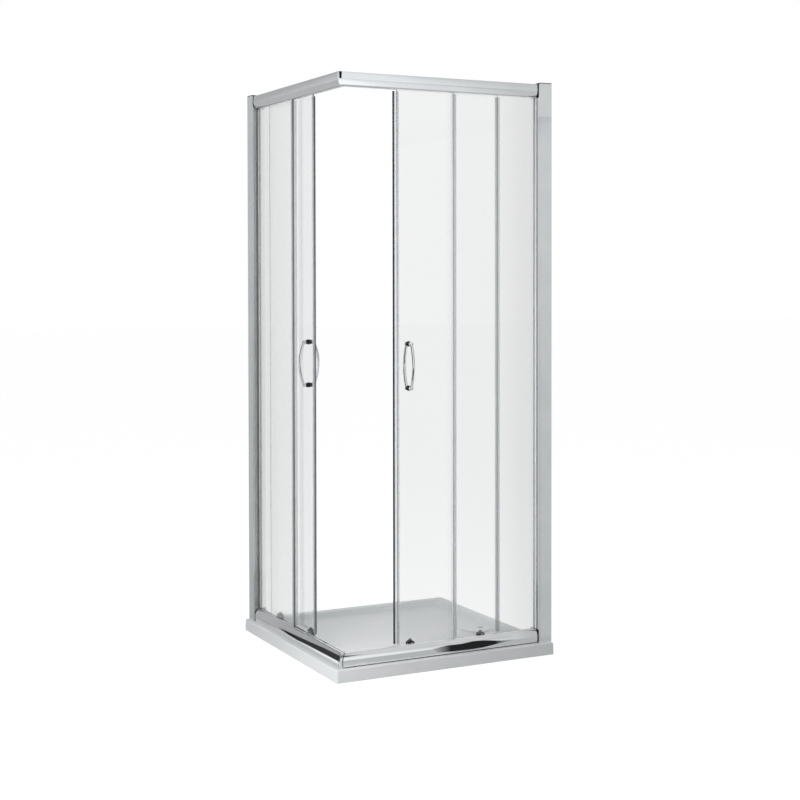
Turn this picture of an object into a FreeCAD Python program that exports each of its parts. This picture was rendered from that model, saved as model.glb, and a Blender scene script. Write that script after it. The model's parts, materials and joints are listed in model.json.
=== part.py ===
import FreeCAD, Part

import enum
import math
import os

import Sketcher

# Corner entry shower enclosure on its tray, in millimetres.
# +Z is up and the origin is the middle of the tray's underside. The two room walls stand at +X and +Y.
# The right side runs along X at the front. The left side is its mirror image in the diagonal x = y.
# Along a side, places are counted from the near corner of the tray, and depths from the tray's edge inwards.

SIZES = {
    # Tray
    "tray_side": 800,
    "tray_high": 40,
    "tray_flare": 1.5,
    "tray_round": 5,
    "floor_high": 25,
    "rail_rim": 80,
    "wall_rim": 40,
    "basin_slope": 15,
    "basin_corner": 30,
    # Waste
    "waste_from_wall": 110,
    "waste_off_middle": 57,
    "waste_throat": 45,
    "waste_wall": 3,
    "waste_fit": 0.3,
    "waste_outlet": 32,
    "waste_ledge": 12,
    "flange_rad": 58,
    "flange_thick": 3,
    "throat_lift": 4,
    "cover_rad": 52,
    "cover_thick": 1.5,
    "cover_dome": 1.5,
    "cover_gap": 2,
    "cover_peg_rad": 3,
    "cover_peg_ring": 37,
    # Rails
    "enclosure_high": 1867,
    "rail_tall": 45,
    "rail_face": 19.5,
    "rail_foot": 21.5,
    "rail_belly": 20,
    "rail_brow": 33,
    "rail_back": 66,
    "rail_wall": 2,
    "rail_upstand": 6,
    "brow_rad": 30,
    "chin_rad": 101,
    "web_thick": 1.8,
    "pocket_deep": 20,
    "lip_under": 34,
    "lip_thick": 2,
    "bead_rad": 1.1,
    "bead_neck": 1,
    "bead_from_web": 3.4,
    "port_rad": 3.6,
    "port_out": 4,
    "port_high": 31,
    "web_below_top": 1,
    # Corner pieces
    "corner_leg": 11,
    "plug_plate": 3.5,
    "plug_tall": 22,
    "plug_deep": 4,
    "plug_fit": 0.1,
    "tongue_long": 40,
    "tongue_fit": 0.15,
    # Glass
    "glass_thick": 6,
    "fixed_depth": 39,
    "fixed_past_middle": 38,
    "door_depth": 56,
    "gasket_wall": 1.4,
    "gasket_floor": 1,
    "gasket_proud": 0.6,
    "gasket_sunk": 0.5,
    # Wall channel and post
    "channel_depth": 17,
    "channel_deep": 36,
    "channel_wide": 44.5,
    "channel_wall": 1.8,
    "channel_rise": 2.5,
    "cap_thick": 2.5,
    "post_fit": 0.3,
    "post_wide": 34,
    "post_wall": 1.8,
    "post_show": 4,
    "post_nose": 4,
    "post_back": 14,
    "post_pocket": 20,
    "end_cap_thick": 5,
    # Fasteners of the frame
    "wall_hole_rad": 2.75,
    "wall_hole_inset": 160,
    "screw_rad": 2,
    "screw_head_rad": 3.6,
    "screw_head_thick": 2.2,
    "screw_long": 26,
    "screw_fit": 0.05,
    # Doors
    "door_overlap": 9.5,
    "door_lead_seal": 14,
    "door_trail_seal": 1.5,
    "door_top_gap": 7,
    "door_bottom_gap": 28.5,
    "open_end_gap": 15,
    # Seals
    "seal_wall": 1.2,
    "seal_leaf": 12,
    "lead_leaf": 6,
    "fin_thick": 1.7,
    "fin_gap": 1.6,
    "meeting_gap": 0.4,
    "seal_rail_gap": 1.5,
    "magnet_skin": 1,
    "magnet_thick": 3,
    # Wheels
    "roller_inset": 64,
    "wheel_rad": 9.5,
    "wheel_wide": 5,
    "groove_deep": 1.5,
    "groove_side_gap": 0.4,
    "groove_flare": 0.4,
    "ride_gap": 0.2,
    "axle_rad": 2,
    "axle_fit": 0.05,
    "axle_head_rad": 3,
    "axle_head_thick": 1.3,
    "axle_end_gap": 0.1,
    # Top hangers
    "hanger_collar_rad": 7,
    "hanger_collar_gap": 0.2,
    "hanger_sleeve_rad": 5.5,
    "hanger_thread_rad": 3,
    "hanger_thread_long": 4,
    "hanger_cap_rad": 9,
    "hanger_cap_thick": 5,
    "hanger_cap_round": 2,
    "glass_hole_fit": 0.3,
    # Bottom release rollers
    "housing_wide": 24,
    "housing_deep": 16.5,
    "housing_top": 50,
    "housing_shoulder": 44,
    "housing_bottom": 29,
    "housing_crown_rad": 16,
    "plunger_depth": 9,
    "button_rad": 4.9,
    "button_fit": 0.1,
    "button_proud": 5,
    "button_long": 11,
    "button_round": 1.5,
    "stem_rad": 2.9,
    "spring_long": 10,
    "spring_gap": 0.2,
    "arm_wide": 8,
    "arm_tall": 7,
    "bolt_rad": 2.5,
    "bolt_head_rad": 4.5,
    "bolt_head_thick": 1.6,
    "bolt_long": 9,
    "bolt_high": 41,
    # Door stops
    "stop_long": 8,
    "stop_gap": 0.5,
    "stop_tall": 15,
    "stop_deep": 5.4,
    # Handles
    "handle_high": 980,
    "handle_span": 143,
    "handle_inset": 56,
    "handle_bow": 16,
    "handle_reach": 14,
    "handle_bar_rad": 4.6,
    "handle_post_rad": 7,
    "handle_post_round": 3,
    "handle_stud_rad": 3,
    "handle_stud_long": 9,
    "collar_rad": 8.5,
    "collar_thick": 2,
    # How far a cut runs past what it cuts
    "overrun": 5,
}

# How far along its travel each door stands open
RIGHT_OPEN_SHARE = 0.593
LEFT_OPEN_SHARE = 0.8175

DIAGONAL = FreeCAD.Vector(1, -1, 0)
UPRIGHT = FreeCAD.Vector(0, 0, 1)
INWARD = FreeCAD.Vector(0, 1, 0)
LEFT_TURN = "left"
RIGHT_TURN = "right"
Spot = enum.IntEnum("Spot", "start end centre")

doc = FreeCAD.newDocument("ShowerEnclosure")


class Size:
    """A length that keeps the sheet expression it comes from."""

    def __init__(self, number, text):
        self.number = number
        self.text = text

    def __add__(self, other):
        return Size(self.number + other.number, f"({self.text} + {other.text})")

    def __sub__(self, other):
        return Size(self.number - other.number, f"({self.text} - {other.text})")

    def __neg__(self):
        return Size(-self.number, f"(0 - {self.text})")

    def __mul__(self, other):
        return Size(self.number * number_of(other), f"({self.text} * {text_of(other)})")

    def __truediv__(self, other):
        return Size(self.number / number_of(other), f"({self.text} / {text_of(other)})")


def number_of(factor):
    return factor.number if isinstance(factor, Size) else factor


def text_of(factor):
    return factor.text if isinstance(factor, Size) else str(factor)


class Sheet:
    """The driving dimensions, one spreadsheet cell each, read as attributes."""

    def __init__(self, sizes):
        self.cells = doc.addObject("Spreadsheet::Sheet", "Sizes")
        for row, (name, value) in enumerate(sizes.items(), start=1):
            self.cells.set(f"A{row}", name)
            self.cells.set(f"B{row}", str(value))
            self.cells.setAlias(f"B{row}", name)
        self.sizes = sizes

    def __getattr__(self, name):
        return Size(self.sizes[name], f"Sizes.{name}")


S = Sheet(SIZES)
doc.recompute()

ZERO = S.overrun - S.overrun
HALF = S.tray_side / 2
WASTE_X = HALF - S.waste_from_wall
WASTE_Y = -S.waste_off_middle

# Heights shared by several pieces
RAIL_TOP = S.tray_high + S.enclosure_high
CHANNEL_TOP = RAIL_TOP + S.channel_rise
MID_HIGH = (S.tray_high + RAIL_TOP) / 2
LOWER_RAIL_TOP = S.tray_high + S.rail_tall
UPPER_RAIL_UNDER = RAIL_TOP - S.rail_tall

# Depths shared by several pieces
FIXED_BACK = S.fixed_depth + S.glass_thick
POCKET_FRONT = S.fixed_depth - S.gasket_wall
WEB_FRONT = FIXED_BACK + S.gasket_wall
WEB_BACK = WEB_FRONT + S.web_thick
BEAD_MID = WEB_BACK + S.bead_from_web
DOOR_BACK = S.door_depth + S.glass_thick
DOOR_MID = S.door_depth + S.glass_thick / 2
SEAL_OUT = S.door_depth - S.seal_wall
SEAL_IN = DOOR_BACK + S.seal_wall
PLUNGER = DOOR_BACK + S.plunger_depth

# Heights within a rail, counted from its base
BEAD_TIP = S.lip_under - S.bead_neck - S.bead_rad
WHEEL_HIGH = BEAD_TIP - S.ride_gap - S.wheel_rad + S.groove_deep
POCKET_FLOOR = S.rail_tall - S.pocket_deep

# Places along a side
CHANNEL_LEAD = S.tray_side - S.channel_wide
POST_FACE = CHANNEL_LEAD - S.post_show
POST_LEAD = POST_FACE - S.post_nose
RAIL_END = POST_FACE - S.end_cap_thick
FIXED_LEAD = HALF + S.fixed_past_middle
DOOR_TRAIL = FIXED_LEAD + S.door_overlap
FULL_OPEN = POST_LEAD - S.open_end_gap - DOOR_TRAIL
DOOR_GLASS_LEAD = DOOR_MID + S.door_lead_seal
DOOR_GLASS_TRAIL = DOOR_TRAIL - S.door_trail_seal
FRONT_ROLLER = DOOR_MID + S.roller_inset
REAR_ROLLER = DOOR_TRAIL - S.roller_inset
HANDLE_PLACE = DOOR_MID + S.handle_inset


def x_at(place):
    """X of a place along the right side."""
    return place - HALF


def y_at(depth):
    """Y of a depth inwards from the right side's tray edge."""
    return depth - HALF


def bind(thing, **sizes):
    """Drive named properties of an object from the sheet."""
    for name, size in sizes.items():
        thing.setExpression(name, size.text)


def place_at(thing, along, deep, high):
    """Drive an object's position from the sheet."""
    for axis, size in (("x", along), ("y", deep), ("z", high)):
        thing.setExpression(f"Placement.Base.{axis}", size.text)


def new_body(label):
    body = doc.addObject("PartDesign::Body", label)
    body.Label = label
    return body


def new_sketch(body, role, across=ZERO, up=ZERO, lift=ZERO):
    """A sketch on one of the body's own planes, shifted in that plane and lifted off it."""
    sketch = body.newObject("Sketcher::SketchObject", f"{body.Name}_sketch")
    plane = next(item for item in body.Origin.OriginFeatures if item.Role == role)
    sketch.AttachmentSupport = (plane, [""])
    sketch.MapMode = "FlatFace"
    for axis, size in (("x", across), ("y", up), ("z", lift)):
        sketch.setExpression(f"AttachmentOffset.Base.{axis}", size.text)
    return sketch


def fix_point(sketch, geo, end, across, up):
    """Hold one point of a sketch at two driven distances from its origin, which is element -1."""
    for kind, size in (("DistanceX", across), ("DistanceY", up)):
        row = sketch.addConstraint(Sketcher.Constraint(kind, -1, Spot.start, geo, end, size.number))
        sketch.setExpression(f"Constraints[{row}]", size.text)


def fix_radius(sketch, geo, radius):
    row = sketch.addConstraint(Sketcher.Constraint("Radius", geo, radius.number))
    sketch.setExpression(f"Constraints[{row}]", radius.text)


def arc_between(here, there, radius, turn):
    """An arc of less than half a circle between two points, turning left or right."""
    chord = there - here
    half = chord.Length / 2
    rise = math.sqrt(max(radius**2 - half**2, 0))
    side = FreeCAD.Vector(-chord.y, chord.x, 0).normalize()
    if turn == RIGHT_TURN:
        side = -side
    centre = here + chord / 2 + side * rise
    middle = centre - side * radius
    return Part.Arc(here, middle, there)


def draw(sketch, corners):
    """Draw a closed loop. A corner is (across, up), or (across, up, radius, turn) where an arc follows it."""
    spots = [FreeCAD.Vector(corner[0].number, corner[1].number, 0) for corner in corners]
    ends = []
    for index, corner in enumerate(corners):
        here = spots[index]
        there = spots[(index + 1) % len(corners)]
        if len(corner) == 2:
            geo = sketch.addGeometry(Part.LineSegment(here, there))
            ends.append((geo, Spot.start, Spot.end))
            continue
        radius, turn = corner[2:]
        geo = sketch.addGeometry(arc_between(here, there, radius.number, turn))
        fix_radius(sketch, geo, radius)
        ends.append((geo, Spot.start, Spot.end) if turn == LEFT_TURN else (geo, Spot.end, Spot.start))
    for index, corner in enumerate(corners):
        geo, start, end = ends[index]
        before, before_start, before_end = ends[index - 1]
        sketch.addConstraint(Sketcher.Constraint("Coincident", before, before_end, geo, start))
        fix_point(sketch, geo, start, corner[0], corner[1])


def draw_circle(sketch, across, up, radius):
    centre = FreeCAD.Vector(across.number, up.number, 0)
    geo = sketch.addGeometry(Part.Circle(centre, UPRIGHT, radius.number))
    fix_point(sketch, geo, Spot.centre, across, up)
    fix_radius(sketch, geo, radius)


def rectangle(left, right, low, top):
    return [(left, low), (right, low), (right, top), (left, top)]


def pad(body, sketch, length, reverse=False):
    feature = body.newObject("PartDesign::Pad", f"{body.Name}_pad")
    feature.Profile = sketch
    feature.Reversed = reverse
    bind(feature, Length=length)
    return feature


def pocket(body, sketch, length, reverse=False):
    feature = body.newObject("PartDesign::Pocket", f"{body.Name}_pocket")
    feature.Profile = sketch
    feature.Reversed = reverse
    bind(feature, Length=length)
    return feature


def revolve(body, sketch, kind="PartDesign::Revolution", axis="V_Axis"):
    feature = body.newObject(kind, f"{body.Name}_turn")
    feature.Profile = sketch
    feature.ReferenceAxis = (sketch, [axis])
    return feature


def plan_pad(body, loops, low, top):
    """Pad plan outlines, drawn in X and Y, from one height to another."""
    sketch = new_sketch(body, "XY_Plane", lift=low)
    for loop in loops:
        draw(sketch, loop)
    return pad(body, sketch, top - low)


def side_pad(body, loops, start, end):
    """Pad section outlines, drawn in Y and Z, along the right side."""
    sketch = new_sketch(body, "YZ_Plane", lift=x_at(start))
    for loop in loops:
        draw(sketch, loop)
    return pad(body, sketch, end - start)


def deep_sketch(body, place, depth):
    """A sketch of X and Z seen from outside at one depth, with its origin at a place along the side."""
    return new_sketch(body, "XZ_Plane", across=x_at(place), lift=-y_at(depth))


def turn_deep(body, profile, place, high, kind="PartDesign::Revolution"):
    """Turn a profile of (radius, depth) about an axis that runs inwards."""
    sketch = new_sketch(body, "XY_Plane", across=x_at(place), up=-HALF, lift=high)
    draw(sketch, profile)
    return revolve(body, sketch, kind)


def turn_upright(body, profile, along, deep, kind="PartDesign::Revolution"):
    """Turn a profile of (radius, height) about an upright axis."""
    sketch = new_sketch(body, "XZ_Plane", across=along, lift=-deep)
    draw(sketch, profile)
    return revolve(body, sketch, kind)


def block(label, along, deep, high):
    """A plain box between pairs of places along the side, depths and heights."""
    box = doc.addObject("Part::Box", label)
    box.Label = label
    bind(box, Length=along[1] - along[0], Width=deep[1] - deep[0], Height=high[1] - high[0])
    place_at(box, x_at(along[0]), y_at(deep[0]), high[0])
    return box


def group(label, members):
    """Separate solids that share one node."""
    compound = doc.addObject("Part::Compound", label)
    compound.Label = label
    compound.Links = members
    return compound


def mirror_of(piece, label, normal, base_name=None, base=None):
    twin = doc.addObject("Part::Mirroring", label)
    twin.Label = label
    twin.Source = piece
    twin.Normal = normal
    if base_name:
        twin.setExpression(f"Base.{base_name}", base.text)
    return twin


def left_twin(piece, label):
    """The same piece on the left side."""
    return mirror_of(piece, label, DIAGONAL)


def upper_twin(piece, label):
    """The same piece at the top, turned over."""
    return mirror_of(piece, label, UPRIGHT, "z", MID_HIGH)


# Tray and waste


def shower_tray():
    """A cast slab with drafted sides, a sloping basin and a seat for the waste."""
    body = new_body("shower_tray")
    slab = plan_pad(body, [rectangle(-HALF, HALF, -HALF, HALF)], ZERO, S.tray_high)
    draft(slab, S.tray_flare, S.tray_high)
    round_edges(body, slab, S.tray_round, [(ZERO, S.tray_high), (S.tray_high, S.tray_high)])
    near = S.rail_rim - HALF
    far = HALF - S.wall_rim
    mouth = new_sketch(body, "XY_Plane", lift=S.tray_high)
    draw(mouth, rectangle(near, far, near, far))
    basin = pocket(body, mouth, S.tray_high - S.floor_high)
    draft(basin, S.basin_slope, S.tray_high - S.floor_high)
    round_edges(body, basin, S.basin_corner, [(S.floor_high, S.tray_high)])
    for radius, deep in ((S.flange_rad, S.flange_thick), (S.waste_throat, S.floor_high + S.overrun)):
        hole = new_sketch(body, "XY_Plane", lift=S.floor_high)
        draw_circle(hole, WASTE_X, WASTE_Y, radius + S.waste_fit)
        pocket(body, hole, deep)
    return body


def draft(feature, drawn_in, length):
    """Slope a pad's or pocket's sides so that its far end is drawn in."""
    feature.setExpression("TaperAngle", f"-1 * atan({drawn_in.text} / {length.text})")
    doc.recompute()


def round_edges(body, feature, radius, spans):
    """Round every edge that runs between a listed pair of heights."""
    names = []
    for number, edge in enumerate(feature.Shape.Edges, start=1):
        heights = sorted(vertex.Point.z for vertex in edge.Vertexes)
        if any(same(heights[0], low.number) and same(heights[-1], top.number) for low, top in spans):
            names.append(f"Edge{number}")
    fillet = body.newObject("PartDesign::Fillet", f"{body.Name}_round")
    fillet.Base = (feature, names)
    bind(fillet, Radius=radius)
    doc.recompute()
    return fillet


def same(one, other):
    return math.isclose(one, other, rel_tol=1e-5, abs_tol=1e-5)


FLANGE_UNDER = S.floor_high - S.flange_thick
PEG_COUNT = 3


def waste_flange():
    """The ring set in the tray's floor, with a ledge for the cover and an outlet below it."""
    body = new_body("waste_flange")
    mouth = S.waste_throat - S.waste_wall
    profile = [
        (S.waste_outlet, S.throat_lift),
        (S.waste_throat, S.throat_lift),
        (S.waste_throat, FLANGE_UNDER),
        (S.flange_rad, FLANGE_UNDER),
        (S.flange_rad, S.floor_high),
        (mouth, S.floor_high),
        (mouth, S.waste_ledge),
        (S.waste_outlet, S.waste_ledge),
    ]
    turn_upright(body, profile, WASTE_X, WASTE_Y)
    return body


def waste_cover():
    """The domed cover, standing on pegs so that water runs in under its rim."""
    body = new_body("waste_cover")
    under = S.floor_high + S.cover_gap
    profile = [
        (ZERO, under),
        (S.cover_rad, under),
        (S.cover_rad, under + S.cover_thick / 2),
        (S.cover_rad - S.cover_thick, under + S.cover_thick),
        (ZERO, under + S.cover_thick + S.cover_dome),
    ]
    turn_upright(body, profile, WASTE_X, WASTE_Y)
    pegs = new_sketch(body, "XY_Plane", lift=S.waste_ledge)
    for number in range(PEG_COUNT):
        angle = 2 * math.pi * number / PEG_COUNT
        across = WASTE_X + S.cover_peg_ring * math.cos(angle)
        up = WASTE_Y + S.cover_peg_ring * math.sin(angle)
        draw_circle(pegs, across, up, S.cover_peg_rad)
    pad(body, pegs, under - S.waste_ledge)
    return body


# Rails and corner pieces


def rail_skin():
    """The rail's section from the foot of its front round to its glass pocket, as (depth, height)."""
    return [
        (S.rail_brow, S.rail_tall, S.brow_rad, LEFT_TURN),
        (S.rail_face, S.rail_belly, S.chin_rad, LEFT_TURN),
        (S.rail_foot, ZERO),
    ]


def rail_track():
    """The base, the track lip with its bead, and the glass pocket, as (depth, height)."""
    bead_base = S.lip_under - S.bead_neck
    lip_top = S.lip_under + S.lip_thick
    upstand = S.rail_back - S.rail_wall
    web_top = S.rail_tall - S.web_below_top
    return [
        (S.rail_back, ZERO),
        (S.rail_back, S.rail_upstand),
        (upstand, S.rail_upstand),
        (upstand, S.rail_wall),
        (WEB_BACK, S.rail_wall),
        (WEB_BACK, S.lip_under),
        (BEAD_MID - S.bead_rad, S.lip_under),
        (BEAD_MID - S.bead_rad, bead_base, S.bead_rad, LEFT_TURN),
        (BEAD_MID, BEAD_TIP, S.bead_rad, LEFT_TURN),
        (BEAD_MID + S.bead_rad, bead_base),
        (BEAD_MID + S.bead_rad, lip_top),
        (WEB_BACK, lip_top),
        (WEB_BACK, web_top),
        (WEB_FRONT, web_top),
        (WEB_FRONT, POCKET_FLOOR),
        (POCKET_FRONT, POCKET_FLOOR),
        (POCKET_FRONT, S.rail_tall),
    ]


CHAMBER_TOP = POCKET_FLOOR - S.rail_wall
CHAMBER_FRONT = S.rail_face + S.rail_wall
CHAMBER_BACK = POCKET_FRONT - S.rail_wall
PORT_MID = CHAMBER_BACK - S.port_out


def rail_chamber():
    """The hollow behind the rail's front, with the screw port standing out from the pocket's wall."""
    crown = S.rail_tall - S.rail_wall
    port_low = S.port_high - S.port_rad
    port_top = S.port_high + S.port_rad
    return [
        (S.rail_foot + S.rail_wall, S.rail_wall),
        (WEB_FRONT, S.rail_wall),
        (WEB_FRONT, CHAMBER_TOP),
        (CHAMBER_BACK, CHAMBER_TOP),
        (CHAMBER_BACK, port_low),
        (PORT_MID, port_low, S.port_rad, RIGHT_TURN),
        (PORT_MID - S.port_rad, S.port_high, S.port_rad, RIGHT_TURN),
        (PORT_MID, port_top),
        (CHAMBER_BACK, port_top),
        (CHAMBER_BACK, crown),
        (S.rail_brow, crown, S.brow_rad - S.rail_wall, LEFT_TURN),
        (CHAMBER_FRONT, S.rail_belly, S.chin_rad - S.rail_wall, LEFT_TURN),
    ]


def in_lower_rail(corners):
    """Section corners moved to the lower rail's place in Y and Z."""
    return [(y_at(corner[0]), S.tray_high + corner[1], *corner[2:]) for corner in corners]


def mitre(body, offset, far_end):
    """Cut a run off from the plane where the place is the depth plus an offset, as far as a far end."""
    deep = S.rail_back + S.overrun
    tip = (x_at(offset), y_at(ZERO))
    heel = (x_at(deep + offset), y_at(deep))
    sketch = new_sketch(body, "XY_Plane", lift=LOWER_RAIL_TOP + S.overrun)
    draw(sketch, [tip, heel, (x_at(far_end), y_at(deep)), (x_at(far_end), y_at(ZERO))])
    return pocket(body, sketch, S.rail_tall + S.overrun * 2)


def bottom_rail():
    body = new_body("right_bottom_rail")
    sketch = new_sketch(body, "YZ_Plane", lift=x_at(S.corner_leg))
    draw(sketch, in_lower_rail(rail_track() + rail_skin()))
    draw(sketch, in_lower_rail(rail_chamber()))
    draw_circle(sketch, y_at(PORT_MID), S.tray_high + S.port_high, S.screw_rad + S.screw_fit)
    pad(body, sketch, RAIL_END - S.corner_leg)
    mitre(body, S.corner_leg, -S.overrun)
    return body


def corner_half():
    """One leg of the corner piece with the tongue that plugs into the rail."""
    body = new_body("corner_half")
    reach = S.rail_back + S.corner_leg + S.overrun
    side_pad(body, [in_lower_rail(rail_track() + rail_skin())], ZERO, reach)
    mitre(body, ZERO, -S.overrun)
    mitre(body, S.corner_leg, reach + S.overrun * 2)
    tongue_front = S.rail_foot + S.rail_wall + S.tongue_fit
    tongue_back = CHAMBER_BACK - S.tongue_fit
    tongue_low = S.rail_wall + S.tongue_fit
    tongue_top = CHAMBER_TOP - S.tongue_fit
    section = rectangle(tongue_front, tongue_back, tongue_low, tongue_top)
    start = tongue_front + S.corner_leg / 2
    side_pad(body, [in_lower_rail(section)], start, start + S.tongue_long)
    return body


def corner_piece(half):
    piece = doc.addObject("Part::Fuse", "bottom_corner_piece")
    piece.Label = "bottom_corner_piece"
    piece.Base = half
    piece.Tool = left_twin(half, "corner_half_left")
    piece.Refine = True
    return piece


def plug_room(label, fit):
    """The space of the corner plug, at the top of the corner piece's right leg."""
    plate = S.rail_face + S.plug_plate
    return block(
        label,
        (plate + fit, plate + S.rail_back),
        (ZERO, S.rail_face + S.plug_deep - fit),
        (RAIL_TOP - S.plug_tall + fit, RAIL_TOP + S.overrun),
    )


def notched_corner(whole):
    """The top corner piece with the notch for its plug."""
    piece = doc.addObject("Part::Cut", "top_corner_piece")
    piece.Label = "top_corner_piece"
    piece.Base = whole
    piece.Tool = plug_room("plug_notch", ZERO)
    return piece


def corner_plug(whole):
    """The black plug in the top corner piece, flush with its face."""
    plug = doc.addObject("Part::Common", "corner_plug")
    plug.Base = whole
    plug.Tool = plug_room("plug_block", S.plug_fit)
    return plug


def rail_gasket():
    """The rubber channel that holds the fixed glass in the lower rail."""
    body = new_body("rail_gasket")
    rim = S.rail_tall - S.gasket_sunk
    floor = POCKET_FLOOR + S.gasket_floor
    web_rim = rim - S.web_below_top
    section = [
        (POCKET_FRONT, POCKET_FLOOR),
        (WEB_FRONT, POCKET_FLOOR),
        (WEB_FRONT, web_rim),
        (FIXED_BACK, web_rim),
        (FIXED_BACK, floor),
        (S.fixed_depth, floor),
        (S.fixed_depth, rim),
        (POCKET_FRONT, rim),
    ]
    side_pad(body, [in_lower_rail(section)], FIXED_LEAD, POST_FACE)
    return body


def rail_end_cap():
    """The black plate between a rail's end and the post, slotted for the glass and bored for the rail screw."""
    body = new_body("rail_end_cap")
    back = [
        (S.rail_back, ZERO),
        (S.rail_back, S.rail_tall),
        (WEB_FRONT, S.rail_tall),
        (WEB_FRONT, POCKET_FLOOR),
        (POCKET_FRONT, POCKET_FLOOR),
        (POCKET_FRONT, S.rail_tall),
    ]
    sketch = new_sketch(body, "YZ_Plane", lift=x_at(RAIL_END))
    draw(sketch, in_lower_rail(back + rail_skin()))
    draw_circle(sketch, y_at(PORT_MID), S.tray_high + S.port_high, S.screw_rad + S.screw_fit)
    pad(body, sketch, S.end_cap_thick)
    return body


# Wall channel, post and fixed glass

CHANNEL_BACK = S.channel_depth + S.channel_deep
POST_FRONT = S.channel_depth + S.channel_wall + S.post_fit
POST_REAR = CHANNEL_BACK - S.channel_wall - S.post_fit
POST_END = POST_FACE + S.post_wide
POST_POCKET_END = POST_LEAD + S.post_pocket
POST_SCREW_PLACE = POST_END - S.post_back / 2
FIXING_COUNT = 4


def screw_heights():
    """Heights of the fixings up each upright, evenly spaced."""
    low = S.tray_high + S.wall_hole_inset
    step = (CHANNEL_TOP - S.wall_hole_inset - low) / (FIXING_COUNT - 1)
    return [low + step * number for number in range(FIXING_COUNT)]


def wall_channel():
    body = new_body("right_wall_channel")
    front = y_at(S.channel_depth)
    back = y_at(CHANNEL_BACK)
    lead = x_at(CHANNEL_LEAD)
    wall = S.channel_wall
    section = [
        (lead, front),
        (HALF, front),
        (HALF, back),
        (lead, back),
        (lead, back - wall),
        (HALF - wall, back - wall),
        (HALF - wall, front + wall),
        (lead, front + wall),
    ]
    plan_pad(body, [section], S.tray_high, CHANNEL_TOP)
    wall_holes = new_sketch(body, "YZ_Plane", lift=HALF + S.overrun)
    for high in screw_heights():
        draw_circle(wall_holes, y_at(S.channel_depth + S.channel_deep / 2), high, S.wall_hole_rad)
    pocket(body, wall_holes, wall + S.overrun * 2)
    post_holes = deep_sketch(body, POST_SCREW_PLACE, CHANNEL_BACK - wall - S.overrun)
    for high in screw_heights():
        draw_circle(post_holes, ZERO, high, S.screw_rad + S.screw_fit)
    pocket(body, post_holes, wall + S.overrun * 2)
    return body


def post():
    """The upright that carries the fixed glass, with its nose cut back at the rails."""
    body = new_body("right_post")
    wall = S.post_wall
    face = x_at(POST_FACE)
    end = x_at(POST_END)
    pocket_end = x_at(POST_POCKET_END)
    front = y_at(POST_FRONT)
    rear = y_at(POST_REAR)
    glass_front = y_at(POCKET_FRONT)
    glass_rear = y_at(WEB_FRONT)
    section = [
        (face, front),
        (end, front),
        (end, rear),
        (face, rear),
        (face, glass_rear),
        (pocket_end, glass_rear),
        (pocket_end, glass_front),
        (face, glass_front),
    ]
    hollow = [
        (face + wall, front + wall),
        (end - wall, front + wall),
        (end - wall, rear - wall),
        (pocket_end + wall, rear - wall),
        (pocket_end + wall, glass_front - wall),
        (face + wall, glass_front - wall),
    ]
    plan_pad(body, [section, hollow], S.tray_high, RAIL_TOP)
    nose = x_at(POST_LEAD)
    cheeks = [rectangle(nose, face, front, glass_front), rectangle(nose, face, glass_rear, rear)]
    plan_pad(body, cheeks, LOWER_RAIL_TOP, UPPER_RAIL_UNDER)
    holes = deep_sketch(body, POST_SCREW_PLACE, POST_REAR - wall - S.overrun)
    for high in screw_heights():
        draw_circle(holes, ZERO, high, S.screw_rad + S.screw_fit)
    pocket(body, holes, wall + S.overrun * 2)
    rail_holes = new_sketch(body, "YZ_Plane", lift=face + wall + S.overrun)
    for high in (S.tray_high + S.port_high, RAIL_TOP - S.port_high):
        draw_circle(rail_holes, y_at(PORT_MID), high, S.screw_rad + S.screw_fit)
    pocket(body, rail_holes, wall + S.overrun * 2)
    return body


def post_gasket():
    """The dark rubber channel round the fixed glass in the post."""
    body = new_body("right_post_gasket")
    lead = x_at(POST_LEAD - S.gasket_proud)
    end = x_at(POST_POCKET_END)
    floor = end - S.gasket_floor
    section = [
        (lead, y_at(POCKET_FRONT)),
        (end, y_at(POCKET_FRONT)),
        (end, y_at(WEB_FRONT)),
        (lead, y_at(WEB_FRONT)),
        (lead, y_at(FIXED_BACK)),
        (floor, y_at(FIXED_BACK)),
        (floor, y_at(S.fixed_depth)),
        (lead, y_at(S.fixed_depth)),
    ]
    rim = S.gasket_proud
    plan_pad(body, [section], LOWER_RAIL_TOP + rim, UPPER_RAIL_UNDER - rim)
    return body


def fixed_glass():
    low = S.tray_high + POCKET_FLOOR + S.gasket_floor
    top = RAIL_TOP - POCKET_FLOOR - S.gasket_floor
    end = POST_POCKET_END - S.gasket_floor
    return block("right_fixed_glass", (FIXED_LEAD, end), (S.fixed_depth, FIXED_BACK), (low, top))


def fixed_seal():
    """The clear strip on the fixed glass's leading edge, with a fin that closes the gap to the door."""
    body = new_body("right_fixed_seal")
    nose = FIXED_LEAD - S.fin_thick
    leaf = FIXED_LEAD + S.seal_leaf - S.fin_thick
    front = S.fixed_depth - S.seal_wall
    back = FIXED_BACK + S.seal_wall
    fin_tip = S.door_depth - S.fin_gap
    section = [
        (nose, front),
        (leaf, front),
        (leaf, S.fixed_depth),
        (FIXED_LEAD, S.fixed_depth),
        (FIXED_LEAD, FIXED_BACK),
        (leaf, FIXED_BACK),
        (leaf, back),
        (FIXED_LEAD, back),
        (FIXED_LEAD, fin_tip),
        (nose, fin_tip),
    ]
    gap = S.gasket_proud + S.seal_rail_gap
    plan_pad(body, [in_plan(section)], LOWER_RAIL_TOP + gap, UPPER_RAIL_UNDER - gap)
    return body


def in_plan(corners):
    """Corners given as (place along the side, depth) moved to X and Y."""
    return [(x_at(place), y_at(depth)) for place, depth in corners]


def channel_cap():
    return block(
        "channel_cap",
        (CHANNEL_LEAD, S.tray_side),
        (S.channel_depth, CHANNEL_BACK),
        (CHANNEL_TOP, CHANNEL_TOP + S.cap_thick),
    )


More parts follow.
